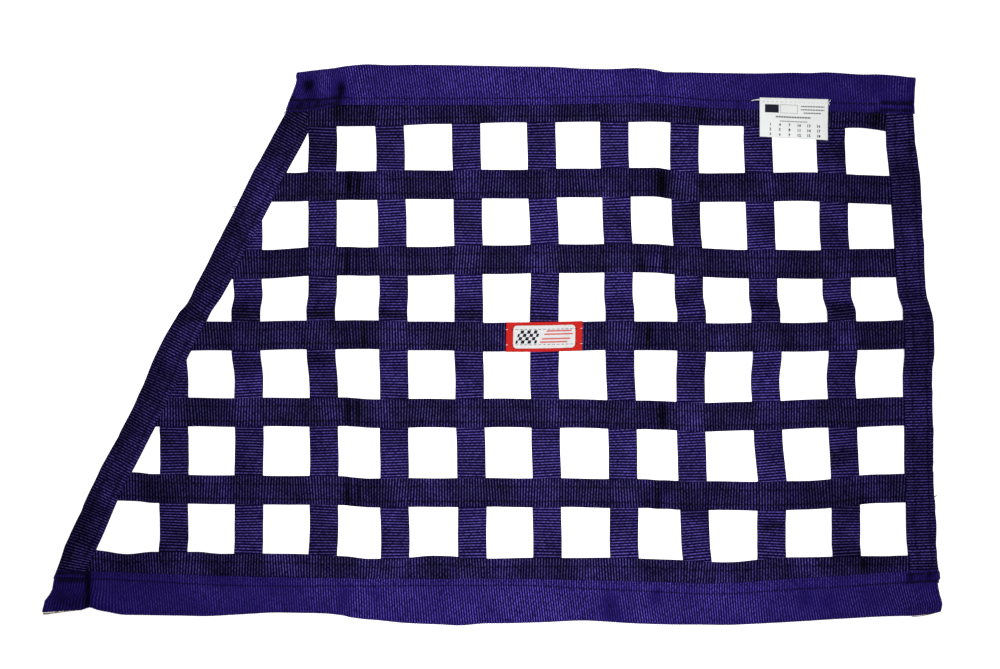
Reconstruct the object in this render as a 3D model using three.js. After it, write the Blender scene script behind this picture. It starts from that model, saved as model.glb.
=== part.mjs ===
// A window net of sewn webbing, lying flat with its folds from packing still in it.
// Ten uprights pass between the front and back ribbons of five rows and two borders.
// Two edge ribbons close the sides, and a wide folded sleeve for a rod runs along the top
// and the bottom. Millimetres: +X runs along the sleeves, +Y from bottom to top, +Z up.

import * as THREE from 'three';

// Driving dimensions of the webbing
const RIBBON_WIDTH = 25.4;
const THICKNESS = 1.3;
const GAP = 0.3;
const LAYER = THICKNESS + GAP;
const HALF = RIBBON_WIDTH / 2;

// How far a ribbon stays level past the piece it crosses, and how long its slope is then
const MARGIN = 2;
const ROW_SLOPE = 8;
const UPRIGHT_SLOPE = 10;

// The middle row stands up in a fold across the net, with a crest just above the row
const FOLD_LIFT = 10;
const FOLD_CREST = { above: 6, rise: 1.2 };
const FOLD_SLOPE = { above: 22, below: 24 };

// The two folds from top to bottom, which the rows between the borders cross as a low ridge
const FOLDS = [
  { x: -124, reach: 8, rise: 3 },
  { x: 146, reach: 10, rise: 4 },
];

// The rod sleeves: webbing folded round a flattened hollow
const SLEEVE_HEIGHT = 9;
const SLEEVE_STEP = 30;
const SLEEVE_FOLD_STEPS = 6;
const SLEEVE_SEAM_FLAT = 1.5;
const SLEEVE_CORNER_MARGIN = 4;
const SLEEVE_CORNER_SLOPE = 12;

// The two small pieces sewn on
const LABEL = { left: 236.5, right: 297.5, top: 218.6, thickness: 1 };
const LABEL_HANG = [
  { below: 0, z: 8 },
  { below: 13.1, z: 8 },
  { below: 27.5, z: 6.6 },
  { below: 38, z: 5.6 },
];
const PATCH = { left: 11.5, right: 79.5, middle: 7.1, height: 26.6, thickness: 1 };

// Where the first two uprights end inside the slanted edge
const UPRIGHT_TOPS = { upright_1: -8, upright_2: 113 };

// Y of each line of the net at nine stations along X. The columns are the far left, the left,
// before and after the first fold, the middle, before and after the second fold, the right
// and the far right.
const STATION_X = [-340, -230, -130, -108, 12, 136, 191, 270, 347];
const LINES = {
  topFold: [236, 236, 245.6, 247.3, 245.8, 243.8, 240.3, 240.4, 237.9],
  topSeam: [202, 203.5, 211, 211, 211, 212.6, 208.5, 206.5, 203.8],
  borderTop: [205, 205, 205.9, 206.2, 209.5, 210.3, 206.9, 205, 204.9],
  row1: [139.5, 139.5, 141.2, 140.8, 142, 144, 138.9, 139.8, 136.3],
  row2: [70, 70.2, 73.9, 73.3, 75.2, 76.4, 72, 70.8, 72.1],
  row3: [7, 7.4, 8.6, 8.4, 6.6, 7.8, 6.2, 6.6, 8.4],
  row4: [-59.2, -60, -59.7, -61, -60.7, -62.4, -64.2, -61.9, -59.7],
  row5: [-127, -128.8, -129.6, -131.4, -131, -131.7, -133.5, -133.2, -127.9],
  borderBottom: [-196.2, -197, -200, -202.7, -201.9, -203.1, -204.6, -201.3, -199.1],
  bottomSeam: [-200.2, -204.2, -206, -206.5, -206.5, -209, -210.6, -206.2, -201],
  bottomFold: [-236.5, -239, -240.1, -242.8, -246.6, -247.4, -247.2, -243.7, -240.3],
};

// X of the middle of each upright and edge at seven heights. The columns are the bottom
// border, rows 5 to 1 and the top border.
const HEIGHT_Y = [-200, -130, -61, 7.5, 73, 140, 206];
const UPRIGHTS = {
  upright_1: [-281.9, -281.5, -281, -281, -281, -281, -281],
  upright_2: [-215.5, -215, -215, -216, -215.9, -215.9, -215.9],
  upright_3: [-149.6, -148.7, -148.7, -150.2, -149.8, -150.2, -149.6],
  upright_4: [-85.4, -86.3, -86.5, -86.5, -87.6, -89.4, -90.7],
  upright_5: [-17.3, -17.7, -19.5, -20.4, -20.8, -21.7, -23.5],
  upright_6: [49.1, 48.5, 47.3, 45.9, 46.9, 44.5, 43.4],
  upright_7: [117.3, 116.4, 115, 112.2, 112, 109.5, 107.5],
  upright_8: [181.9, 178.1, 175.9, 175.4, 173.7, 170.8, 169.9],
  upright_9: [246.9, 247.8, 243, 241, 239, 236.5, 235],
  upright_10: [313.7, 312.8, 310, 307.8, 304, 301.5, 298.2],
};
const EDGES = {
  edge_slant: [-371.5, -341.5, -306.1, -272, -237, -202.5, -167.3],
  edge_right: [381, 378.3, 377, 374.5, 369.5, 365.2, 359.4],
};

// The rows from the top down. A border lies on the back of its sleeve.
const ROWS = [
  { name: 'border_top', line: LINES.borderTop, lift: LAYER },
  { name: 'crossbar', number: 1, line: LINES.row1, lift: 0 },
  { name: 'crossbar', number: 2, line: LINES.row2, lift: 0 },
  { name: 'crossbar', number: 3, line: LINES.row3, lift: FOLD_LIFT, folded: true },
  { name: 'crossbar', number: 4, line: LINES.row4, lift: 0 },
  { name: 'crossbar', number: 5, line: LINES.row5, lift: 0 },
  { name: 'border_bottom', line: LINES.borderBottom, lift: LAYER },
];

// The sleeves: the sense of outward along Y, and where the ends stand at the seam and fold
const SLEEVES = [
  {
    name: 'rod_sleeve_top', outward: 1, seam: LINES.topSeam, fold: LINES.topFold, row: 0,
    left: { seam: -182.5, fold: -173 }, right: { seam: 373.5, fold: 374.8 },
  },
  {
    name: 'rod_sleeve_bottom', outward: -1, seam: LINES.bottomSeam, fold: LINES.bottomFold, row: 6,
    left: { seam: -385.4, fold: -397.5 }, right: { seam: 392.7, fold: 398.6 },
  },
];

const ribbonCloth = new THREE.MeshStandardMaterial({ color: 0x261b52, roughness: 0.7, metalness: 0 });
const sleeveCloth = new THREE.MeshStandardMaterial({ color: 0x30246a, roughness: 0.65, metalness: 0 });
const labelCloth = new THREE.MeshStandardMaterial({ color: 0xebebe6, roughness: 0.6, metalness: 0 });
const patchCloth = new THREE.MeshStandardMaterial({ color: 0xc41f22, roughness: 0.6, metalness: 0 });

// A smooth curve through points, without overshoot, as a function of x
function curveThrough(xs, ys) {
  const slopes = xs.slice(1).map((x, i) => (ys[i + 1] - ys[i]) / (x - xs[i]));
  const tangents = xs.map((_, i) => {
    const before = slopes[Math.max(i - 1, 0)];
    const after = slopes[Math.min(i, slopes.length - 1)];
    return before * after <= 0 ? 0 : (2 * before * after) / (before + after);
  });
  const last = xs.length - 1;
  return (x) => {
    if (x <= xs[0]) return ys[0] + tangents[0] * (x - xs[0]);
    if (x >= xs[last]) return ys[last] + tangents[last] * (x - xs[last]);
    const i = xs.findIndex((knot) => knot > x) - 1;
    const span = xs[i + 1] - xs[i];
    const t = (x - xs[i]) / span;
    const ease = t * t * (3 - 2 * t);
    const leave = t * (1 - t) * (1 - t) * span * tangents[i];
    const arrive = t * t * (1 - t) * span * tangents[i + 1];
    return ys[i] + (ys[i + 1] - ys[i]) * ease + leave - arrive;
  };
}

// Straight lines through points, as a function of the first coordinate, which rises
function linesThrough(points) {
  return (x) => {
    const next = points.findIndex((point) => point[0] > x);
    if (next === 0) return points[0][1];
    if (next < 0) return points[points.length - 1][1];
    const [x0, y0] = points[next - 1];
    const [x1, y1] = points[next];
    return y0 + ((y1 - y0) * (x - x0)) / (x1 - x0);
  };
}

// Sorted numbers, with those closer than half a millimetre taken as one
function merged(numbers) {
  const sorted = [...numbers].sort((a, b) => a - b);
  return sorted.filter((value, i) => i === 0 || value - sorted[i - 1] > 0.5);
}

// A closed solid of a sheet. A section is a list of points across it, each with its place on
// the underside and on the upper side.
function sheetSolid(sections) {
  const across = sections[0].length;
  const last = { section: sections.length - 1, column: across - 1 };
  const positions = [];
  for (const section of sections) {
    positions.push(...section.flatMap((point) => point.under));
    positions.push(...section.flatMap((point) => point.over));
  }
  const under = (section, column) => section * 2 * across + column;
  const over = (section, column) => under(section, column) + across;
  const triangles = [];
  const quad = (a, b, c, d) => triangles.push(a, b, c, a, c, d);
  for (let s = 0; s < last.section; s += 1) {
    for (let c = 0; c < last.column; c += 1) {
      quad(under(s, c), under(s + 1, c), under(s + 1, c + 1), under(s, c + 1));
      quad(over(s, c), over(s, c + 1), over(s + 1, c + 1), over(s + 1, c));
    }
    quad(under(s, 0), over(s, 0), over(s + 1, 0), under(s + 1, 0));
    quad(under(s, last.column), under(s + 1, last.column), over(s + 1, last.column), over(s, last.column));
  }
  for (let c = 0; c < last.column; c += 1) {
    quad(under(0, c), under(0, c + 1), over(0, c + 1), over(0, c));
    quad(under(last.section, c), over(last.section, c), over(last.section, c + 1),
      under(last.section, c + 1));
  }
  const geometry = new THREE.BufferGeometry();
  geometry.setAttribute('position', new THREE.Float32BufferAttribute(positions, 3));
  geometry.setIndex(volumeOf(positions, triangles) < 0 ? triangles.reverse() : triangles);
  geometry.computeVertexNormals();
  return geometry;
}

function volumeOf(positions, triangles) {
  let volume = 0;
  const corner = (i) => new THREE.Vector3().fromArray(positions, triangles[i] * 3);
  for (let i = 0; i < triangles.length; i += 3) {
    volume += corner(i).dot(corner(i + 1).cross(corner(i + 2))) / 6;
  }
  return volume;
}

function meshOf(name, sections, cloth) {
  const mesh = new THREE.Mesh(sheetSolid(sections), cloth);
  mesh.name = name;
  return mesh;
}

// A point of a level sheet: its underside at z, its upper side one thickness above
function flatPoint(x, y, z, thickness = THICKNESS) {
  return { under: [x, y, z], over: [x, y, z + thickness] };
}

// Upright pieces in plan: where their left and right sides run
function verticalPlan(line) {
  const middle = curveThrough(HEIGHT_Y, line);
  const halfAcross = (y) => HALF * Math.hypot(1, middle(y + 0.5) - middle(y - 0.5));
  return {
    middle,
    left: (y) => middle(y) - halfAcross(y),
    right: (y) => middle(y) + halfAcross(y),
  };
}

const slant = verticalPlan(EDGES.edge_slant);
const rightEdge = verticalPlan(EDGES.edge_right);
const uprights = Object.entries(UPRIGHTS).map(([name, line]) => ({
  name,
  ...verticalPlan(line),
  top: UPRIGHT_TOPS[name] ?? Infinity,
}));

// Everything a row needs: its course, the uprights it crosses and its heights
function rowPlan(row, index) {
  const y = curveThrough(STATION_X, row.line);
  const rightEnd = rightEdge.right(y(rightEdge.middle(HEIGHT_Y[0])));
  const slantY = y(slant.middle(y(HEIGHT_Y[0])));
  const crossed = uprights.filter((upright) => upright.top > y(upright.middle(slantY)));
  const spans = crossed.map((upright) => {
    const middleY = y(upright.middle(slantY));
    return { left: upright.left(middleY) - MARGIN, right: upright.right(middleY) + MARGIN };
  });
  const slantSide = slant.right(slantY + HALF) + MARGIN;
  const joined = spans[0].left < slantSide;
  const zone = {
    left: joined ? spans[0].right : slantSide,
    right: rightEdge.left(y(rightEnd)) - MARGIN,
  };
  return { ...row, index, y, slantY, spans, joined, zone, ...rowHeights(row, spans, joined, zone) };
}

// The heights of a row's back ribbon, its front ribbon and what lies between and above them
function rowHeights(row, spans, joined, zone) {
  const folds = FOLDS.flatMap((fold) => [
    [fold.x - fold.reach, 0], [fold.x, row.number ? fold.rise : 0], [fold.x + fold.reach, 0],
  ]);
  const foldRise = linesThrough(folds);
  const edgeRise = linesThrough([
    [zone.left, LAYER], [zone.left + ROW_SLOPE, 0], [zone.right - ROW_SLOPE, 0], [zone.right, LAYER],
  ]);
  const first = joined ? 1 : 0;
  const crossings = spans.slice(first).flatMap((span) => [
    [span.left - ROW_SLOPE, 0], [span.left, LAYER], [span.right, LAYER], [span.right + ROW_SLOPE, 0],
  ]);
  const joinedStart = joined ? [[spans[0].right, LAYER], [spans[0].right + ROW_SLOPE, 0]] : [];
  const crossingRise = linesThrough([...joinedStart, ...crossings]);
  const back = (x) => row.lift + foldRise(x) + edgeRise(x);
  const front = (x) => back(x) + LAYER + crossingRise(x);
  const bends = [
    ...folds.map((point) => point[0]),
    zone.left, zone.left + ROW_SLOPE, zone.right - ROW_SLOPE, zone.right,
  ];
  return { back, front, backBends: bends, frontBends: [...bends, ...crossings.map((point) => point[0])] };
}

const rows = ROWS.map(rowPlan);

// A row's ribbon: cut along the slanted edge at the left, square at the right
function rowSections(row, height, bends) {
  const corner = (side) => {
    const y = row.slantY + side * HALF;
    return flatPoint(slant.left(y) + 1, y, height(slant.middle(y)));
  };
  const start = slant.left(row.slantY + HALF) + MARGIN + 1;
  const end = rightEdge.right(row.y(rightEdge.middle(row.slantY))) - 1;
  const inner = merged([...bends, ...STATION_X]).filter((x) => x > start + 1 && x < end - 1);
  const sections = [start, ...inner, end].map((x) => [
    flatPoint(x, row.y(x) - HALF, height(x)),
    flatPoint(x, row.y(x) + HALF, height(x)),
  ]);
  return [[corner(-1), corner(1)], ...sections];
}

function rowMeshes(row) {
  const label = (side) => (row.number ? `${row.name}_${side}_${row.number}` : `${row.name}_${side}`);
  return [
    meshOf(label('back'), rowSections(row, row.back, row.backBends), ribbonCloth),
    meshOf(label('front'), rowSections(row, row.front, row.frontBends), ribbonCloth),
  ];
}

// The bends of an upright piece from the bottom up: its Y, and how its height is found there.
// At a row it is held at the row's level, and in a bay it lies at the level given for it.
function verticalBends(plan, levelAtRow, levelInBay) {
  const bends = [];
  for (const row of [...rows].reverse()) {
    const y = row.y(plan.middle(row.slantY));
    const held = (x) => levelAtRow(row, x);
    const lowest = row.index === rows.length - 1;
    const highest = row.index === 0;
    if (!lowest) {
      const slope = row.folded ? FOLD_SLOPE.below : UPRIGHT_SLOPE;
      bends.push({ y: y - HALF - MARGIN - slope, height: () => levelInBay(row.index) });
    }
    bends.push({ y: lowest ? y - HALF + 1 : y - HALF - MARGIN, height: held });
    bends.push({ y: highest ? y + HALF - 1 : y + HALF + MARGIN, height: held });
    if (row.folded) {
      const crest = (x) => held(x) + FOLD_CREST.rise;
      bends.push({ y: y + HALF + MARGIN + FOLD_CREST.above, height: crest });
    }
    if (!highest) {
      const slope = row.folded ? FOLD_SLOPE.above : UPRIGHT_SLOPE;
      bends.push({ y: y + HALF + MARGIN + slope, height: () => levelInBay(row.index - 1) });
    }
  }
  return bends;
}

function verticalSections(plan, bends) {
  return bends.map(({ y, height }) => {
    const left = plan.left(y);
    const right = plan.right(y);
    return [flatPoint(left, y, height(left)), flatPoint(right, y, height(right))];
  });
}

// The bays below rows 1 and 3 are where an upright starts inside the slanted edge
const startBays = [1, 3];

function edgeMeshes(name, plan) {
  const slanted = plan === slant;
  const frontInBay = (bay) => (slanted && startBays.includes(bay) ? 2 * LAYER : LAYER);
  const inZone = slanted ? slant.middle : rightEdge.middle;
  const back = verticalBends(plan, (row) => row.lift, () => 0);
  const front = verticalBends(plan, (row) => row.front(inZone(row.slantY)) + LAYER, frontInBay);
  return [
    meshOf(`${name}_back`, verticalSections(plan, back), ribbonCloth),
    meshOf(`${name}_front`, verticalSections(plan, front), ribbonCloth),
  ];
}

// An upright that starts inside the slanted edge follows the back ribbon of that edge there
function uprightMesh(upright) {
  const own = verticalBends(upright, (row, x) => row.back(x) + LAYER, () => 0);
  if (upright.top === Infinity) {
    return meshOf(upright.name, verticalSections(upright, own), ribbonCloth);
  }
  const edge = verticalBends(slant, (row) => row.lift, () => 0);
  const edgeLevel = linesThrough(edge.map(({ y, height }) => [y, height()]));
  const firstRow = rows.find((row) => row.y(upright.middle(0)) < upright.top);
  const joinY = firstRow.y(slant.middle(firstRow.slantY)) + HALF + MARGIN;
  const inside = edge.filter(({ y }) => y > joinY + 1 && y < upright.top - 1);
  const bends = [
    ...own.filter(({ y }) => y < joinY - 1),
    { y: joinY, height: (x) => firstRow.back(x) + LAYER },
    ...inside.map(({ y }) => ({ y, height: () => edgeLevel(y) + LAYER })),
    { y: upright.top, height: () => edgeLevel(upright.top) + LAYER },
  ];
  return meshOf(upright.name, verticalSections(upright, bends), ribbonCloth);
}

// The level of a sleeve's front along its seam: one layer above what it covers
function seamLevel(row) {
  const overRows = row.lift + 3 * LAYER;
  const overLeft = row.front(slant.middle(row.slantY)) + 2 * LAYER;
  const overRight = row.front(rightEdge.middle(row.slantY)) + 2 * LAYER;
  const left = row.zone.left + SLEEVE_CORNER_MARGIN;
  const right = row.zone.right - SLEEVE_CORNER_MARGIN;
  return [
    [left, overLeft], [left + SLEEVE_CORNER_SLOPE, overRows],
    [right - SLEEVE_CORNER_SLOPE, overRows], [right, overRight],
  ];
}

// The three lengths of a sleeve's section: its back flap, the fold round the end of the loop
// and its front flap. A point has its distance outward from the seam and its height, on the
// inside and on the outside.
function sleeveProfiles(depth, flat, level) {
  const outer = SLEEVE_HEIGHT / 2;
  const inner = outer - THICKNESS;
  const flapEnd = depth - outer - GAP;
  const backPoint = (distance) => ({ inside: [distance, THICKNESS], outside: [distance, 0] });
  const frontPoint = (distance, z) => ({ inside: [distance, z], outside: [distance, z + THICKNESS] });
  const foldPoint = (step) => {
    const angle = Math.PI * (step / SLEEVE_FOLD_STEPS - 0.5);
    const on = (radius) => [
      depth - outer + radius * Math.cos(angle), outer + radius * Math.sin(angle),
    ];
    return { inside: on(inner), outside: on(outer) };
  };
  return {
    back: [backPoint(0), backPoint(flapEnd)],
    fold: Array.from({ length: SLEEVE_FOLD_STEPS + 1 }, (_, step) => foldPoint(step)),
    front: [frontPoint(flapEnd, outer + inner), frontPoint(flat, level), frontPoint(0, level)],
  };
}

function sleeveMeshes(sleeve) {
  const row = rows[sleeve.row];
  const seam = curveThrough(STATION_X, sleeve.seam);
  const fold = curveThrough(STATION_X, sleeve.fold);
  const knots = seamLevel(row);
  const level = linesThrough(knots);
  const { left, right } = sleeve;
  const steps = Math.ceil((right.seam - left.seam) / SLEEVE_STEP);
  const step = (right.seam - left.seam) / steps;
  const even = Array.from({ length: steps + 1 }, (_, i) => left.seam + step * i);
  const stations = merged([...even, ...knots.map((point) => point[0])]);
  const sectionsOf = (length) => stations.map((x) => {
    const along = (x - left.seam) / (right.seam - left.seam);
    const foldX = left.fold + (right.fold - left.fold) * along;
    const depth = Math.abs(fold(foldX) - seam(x));
    const hidden = sleeve.outward * (row.y(x) - seam(x)) + HALF;
    const profiles = sleeveProfiles(depth, hidden + SLEEVE_SEAM_FLAT, level(x));
    const place = ([distance, z]) => {
      const across = distance / depth;
      return [x + (foldX - x) * across, seam(x) + sleeve.outward * distance, z];
    };
    return profiles[length].map(({ inside, outside }) => ({ under: place(inside), over: place(outside) }));
  });
  return ['back', 'fold', 'front'].map((length) => (
    meshOf(`${sleeve.name}_${length}`, sectionsOf(length), sleeveCloth)
  ));
}

function labelMesh() {
  const sections = LABEL_HANG.map(({ below, z }) => [
    flatPoint(LABEL.left, LABEL.top - below, z, LABEL.thickness),
    flatPoint(LABEL.right, LABEL.top - below, z, LABEL.thickness),
  ]);
  return meshOf('certification_label', sections, labelCloth);
}

// The patch lies on the front ribbon of the middle row and takes its bends
function patchMesh() {
  const row = rows.find((one) => one.folded);
  const bends = merged(row.frontBends).filter((x) => x > PATCH.left + 1 && x < PATCH.right - 1);
  const low = PATCH.middle - PATCH.height / 2;
  const sections = [PATCH.left, ...bends, PATCH.right].map((x) => [
    flatPoint(x, low, row.front(x) + LAYER, PATCH.thickness),
    flatPoint(x, low + PATCH.height, row.front(x) + LAYER, PATCH.thickness),
  ]);
  return meshOf('badge_patch', sections, patchCloth);
}

const net = new THREE.Group();
net.add(
  ...rows.flatMap(rowMeshes),
  ...uprights.map(uprightMesh),
  ...edgeMeshes('edge_slant', slant),
  ...edgeMeshes('edge_right', rightEdge),
  ...SLEEVES.flatMap(sleeveMeshes),
  labelMesh(),
  patchMesh(),
);

// The origin is the middle of the net's outline, on the surface it lies on
const outline = new THREE.Box3().setFromObject(net);
const centre = outline.getCenter(new THREE.Vector3());
net.position.set(-centre.x, -centre.y, -outline.min.z);

const windowNet = new THREE.Group();
windowNet.add(net);

export default windowNet;
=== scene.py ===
"""The visual model of a sewn window net: ribbed webbing in rows, uprights and edges, two
folded rod sleeves, their seams and bar tacks, a white label and a red patch.

Courses and heights are in millimetres, +X along the sleeves, +Y from bottom to top and +Z up,
and every mesh is turned into metres as it is made."""

import functools
import math

import bpy
import numpy as np
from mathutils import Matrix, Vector


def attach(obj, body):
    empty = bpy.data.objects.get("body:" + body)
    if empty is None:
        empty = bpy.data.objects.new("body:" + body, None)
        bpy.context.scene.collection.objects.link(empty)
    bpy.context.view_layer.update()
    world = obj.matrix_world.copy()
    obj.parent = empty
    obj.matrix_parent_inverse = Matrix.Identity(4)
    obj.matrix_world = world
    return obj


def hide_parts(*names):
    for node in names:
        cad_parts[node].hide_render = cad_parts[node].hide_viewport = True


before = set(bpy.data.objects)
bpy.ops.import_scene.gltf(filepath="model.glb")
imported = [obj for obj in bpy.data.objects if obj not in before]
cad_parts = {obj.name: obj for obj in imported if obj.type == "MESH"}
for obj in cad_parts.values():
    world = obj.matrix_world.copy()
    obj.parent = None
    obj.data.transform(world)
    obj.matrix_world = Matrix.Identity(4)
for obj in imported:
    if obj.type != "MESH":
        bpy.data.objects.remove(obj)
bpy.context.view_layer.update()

bl_info = {
    "name": "Window Net Webbing",
    "version": (1, 0, 0),
    "blender": (4, 5, 0),
    "location": "View3D > Sidebar > Window Net",
    "description": "Ribbed webbing, seams, label and patch of a sewn window net",
    "category": "Add Mesh",
}

MM = 0.001
BODY = "root"

# The middle of the net's outline, which is the frame's origin, in the tables' own X
CENTRE_X = 0.55

# Half the width of a ribbon, the gap between layers, how far beside a crossing a ribbon stays
# level, and over what length a row and an upright slope from there
HALF = 12.7
GAP = 0.3
MARGIN = 2.0
ROW_SLOPE = 8.0
UPRIGHT_SLOPE = 10.0

# The raised fold of the middle row: its lift, its crest above the row and its slopes beside it
FOLD_LIFT = 10.0
FOLD_CREST = {"above": 6.0, "rise": 1.2}
FOLD_SLOPE = {"above": 22.0, "below": 24.0}

# The bays, counted from the top, in which an upright starts inside the slanted edge
START_BAYS = (1, 3)

# Where the slanted edge's front ribbon starts to tuck in under the border at its top
SLANT_TUCK = {"from": 188.0, "over": 17.0, "share": 0.42}

# How far the outer side of each edge stands to the right of its straight course, up the net
EDGE_SIDES = {
    "edge_slant": (
        (-200, 1.4), (-190, 0.8), (-178, -0.6), (-168, -1.5), (-158, -1.1), (-143, 0.3), (-122, 0.7),
        (-101, -0.3), (-87, 0.4), (-73, 1.3), (-58, 1.0), (-44, 0.2), (-27, -0.9), (-9, 0.1), (5, -0.3),
        (19, 0.8), (27, 1.8), (34, 3.4), (41, 2.0), (48, 1.1), (58, 1.6), (83, 0.9), (104, 0.1),
        (140, 0.1), (168, -0.7), (182, -0.6), (189, 0.8), (206, 1.6),
    ),
    "edge_right": (
        (-200, 0), (-188, -1.1), (-181, -0.8), (-173, 0.4), (-159, 1.3), (-145, 0), (-131, -1.3),
        (-110, -1.3), (-103, 0), (-81, 0), (-70, -0.8), (-53, -0.6), (-39, 0), (-28, 0.6), (-18, -0.4),
        (4, -0.1), (18, 0.1), (25, -0.6), (32, -2.1), (39, -1.2), (46, -0.3), (56, -1.0), (81, -0.3),
        (96, 0.5), (110, 1.0), (131, 0.2), (152, 0.2), (163, 0.9), (173, 0.5), (188, -1.4), (206, -1.4),
    ),
}

# Small bows of the rows between the uprights: X and how far they stand above their course.
# Beyond the reach a row goes on level, and a row without bows is straight.
BOW_REACH = 350
STRAIGHT = ((-1, 0), (1, 0))
ROW_BOWS = {
    "border_top": ((-350, 0), (300, 0), (324, 1.2), (338, 0), (349, -1.8), (350, -1.8)),
    "row_5": ((-350, 2.2), (-317, 2.0), (-300, 0.2), (-100, 0.2), (270, -0.6), (325, 0.8), (350, 0)),
    "border_bottom": (
        (-345, 1.4), (-322, -1.8), (-300, 0.3), (-262, 0.8), (-240, -1.2), (-222, -0.6), (-200, 0.2),
        (-90, 0.2), (-73, 1.6), (-55, 3.0), (-38, 2.2), (-15, 0), (44, 0.6), (87, 1.2), (150, 0.9),
        (180, 0.2), (214, -0.8), (257, 0.6), (300, 0.1), (350, -0.6),
    ),
}

# Dark marks of painted shade at creases and folds and where the cloth turns from the light: X, Y,
# half length, half width, degrees from X and how dark
PAINTED_SHADE_MARKS = (
    (-261, 21, 12, 26, -28, 0.3), (-319, -86, 9, 28, -28, 0.2), (381, -211.5, 14, 3.4, 0, 0.5),
    (-150, 220, 26, 13, 0, 0.3), (-152, 194, 8, 6, 0, 0.4), (370, 216, 5, 14, 0, 0.4),
    (-381, -226, 8, 11, 0, 0.35), (-171, 214, 10, 3, 10, 0.3), (-120, 232, 8, 3, 60, 0.25),
    (-133, 213, 3, 6, -35, 0.3), (-163, 205, 14, 2.6, 4, 0.25),
    (-160.5, 229.5, 5, 3.6, 0, 1.0), (-131.8, 225.5, 3.6, 5.5, 0, 1.1), (-136, 203, 5.5, 7, 0, 1.0),
    (-152, 172, 16, 12, 0, 0.5), (-152, 160, 16, 4, 0, 0.5), (-22, 163, 16, 4, 0, 0.5),
    (-218, 28, 16, 3.4, 0, 0.9), (-152, 28, 16, 3.6, 0, 1.2), (-88, 27.5, 16, 3.2, 0, 0.9),
    (-22, 27.5, 16, 3.2, 0, 0.9), (239, 35, 16, 8, 0, 0.7), (308, 30, 16, 6, 0, 1.1),
    (-152, -12, 16, 5, 0, 0.9), (-218, -19, 16, 10, 0, 0.4), (312, 171, 16, 9, 0, 0.7),
    (312, -98, 16, 8, 0, 0.8), (312, -137, 16, 7, 0, 0.9), (312, -185, 16, 9, 0, 0.5),
    (240, 105, 16, 14, 0, 0.45), (248, -161, 9, 3, 14, 1.0), (174, 111, 16, 12, 0, 0.45),
    (174, 46, 16, 8, 0, 0.5), (382, 188, 8, 6, 0, 0.5),
    (-106, 203, 3, 7, 0, 0.7), (340, 200, 5, 5.5, 0, 1.4), (184, 204, 3, 6, 0, 0.9),
    (217, 212, 2.4, 5, 0, 0.6), (185, 140, 3, 9, 0, 0.9), (149.3, 142, 5.0, 17, 0, 1.4),
    (205, 197, 14, 1.6, 0, 0.6), (-356, -205, 2.5, 22, 0, 0.6), (-305, -127, 6, 5, 0, 0.7),
    (-244, -127, 4, 5, 0, 0.6), (328, -194, 4, 7, 0, 1.0), (292, -193, 3, 5, 0, 0.6),
    (345, -191, 14, 5, 0, 0.5),
    # Painted shade at the two low folds on the rows
    (-125.8, 141, 3.1, 17, 0, 1.3), (-118.1, 141, 2.0, 17, 0, 1.2), (-127.4, 74, 2.3, 17, 0, 1.2),
    (-120, 76, 1.4, 12, 0, 0.7), (-112.2, 7, 2.9, 16, 0, 1.1), (-126.8, -60, 3.3, 17, 0, 1.3),
    (-118.2, -60, 2.2, 17, 0, 1.3), (-127.2, -132, 3.0, 17, 0, 1.3), (-118, -132, 2.0, 15, 0, 1.1),
    (132.7, 69, 2.6, 8, 0, 1.0), (153.8, 72, 2.8, 14, 0, 1.1), (137.2, 7, 2.7, 13, 0, 1.1),
    (149.9, -65, 4.4, 15, 0, 1.2), (145.7, -134, 2.5, 17, 0, 1.3), (136.7, -138, 2.2, 9, 0, 0.8),
)

# The two low folds that cross the rows from top to bottom
FOLDS = ({"x": -124.0, "reach": 8.0, "rise": 3.0}, {"x": 146.0, "reach": 10.0, "rise": 4.0})

# The two stitch rows of a ribbon, measured across it from its middle, and how strongly each
# pulls the cloth in, which also sets how much painted shade darkens it there
SEAMS = (5.3, -7.6)
SEAM_PULLS = (0.9, 1.2)

# The two stitch rows of an edge, and how far every stitch row stands off the cloth
EDGE_SEAMS = (-6.4, 6.4)
SEAM_LIFT = 0.12

# A sleeve's height, how far past the hidden ribbon its front stays flat, how it steps up over a
# corner, how far in from an end that end's shape reaches, and the dip at its second stitch row
SLEEVE_HEIGHT = 9.0
SLEEVE_SEAM_FLAT = 1.5
SLEEVE_CORNER_MARGIN = 4.0
SLEEVE_CORNER_SLOPE = 12.0
SLEEVE_END_REACH = 60.0
SLEEVE_DIP = {"depth": 0.3, "width": 1.4}

# Y of each line of the net at nine stations along X
STATION_X = (-340, -230, -130, -108, 12, 136, 191, 270, 347)
LINES = {
    "top_fold": (236, 236, 245.6, 247.3, 245.8, 243.8, 240.3, 240.4, 237.9),
    "top_seam": (197, 200.4, 211, 211, 211, 212.6, 208.5, 206.5, 203.8),
    "border_top": (205, 205, 205.3, 205.7, 208.8, 209.6, 206.4, 204.4, 202.8),
    "row_1": (138.5, 138.5, 140.4, 140.8, 141.8, 143.4, 138.6, 139.5, 136.3),
    "row_2": (70, 70.2, 73.9, 73.3, 75.2, 76.4, 72, 70.8, 72.1),
    "row_3": (7, 7.4, 8.6, 8.4, 6.6, 7.8, 6.2, 6.6, 8.4),
    "row_4": (-59.2, -60, -59.7, -61, -60.7, -62.4, -64.2, -61.9, -59.7),
    "row_5": (-127, -128.8, -129.6, -131.4, -131, -131.7, -133.5, -133.2, -127.9),
    "border_bottom": (-196.2, -197, -200, -202.7, -201.9, -203.1, -204.6, -201.3, -199.1),
    "bottom_seam": (-200.2, -204.2, -206, -206.5, -206.5, -209, -210.6, -206.2, -201),
    "bottom_fold": (-236.5, -239, -240.1, -242.8, -246.6, -247.4, -247.2, -243.7, -240.3),
}

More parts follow.
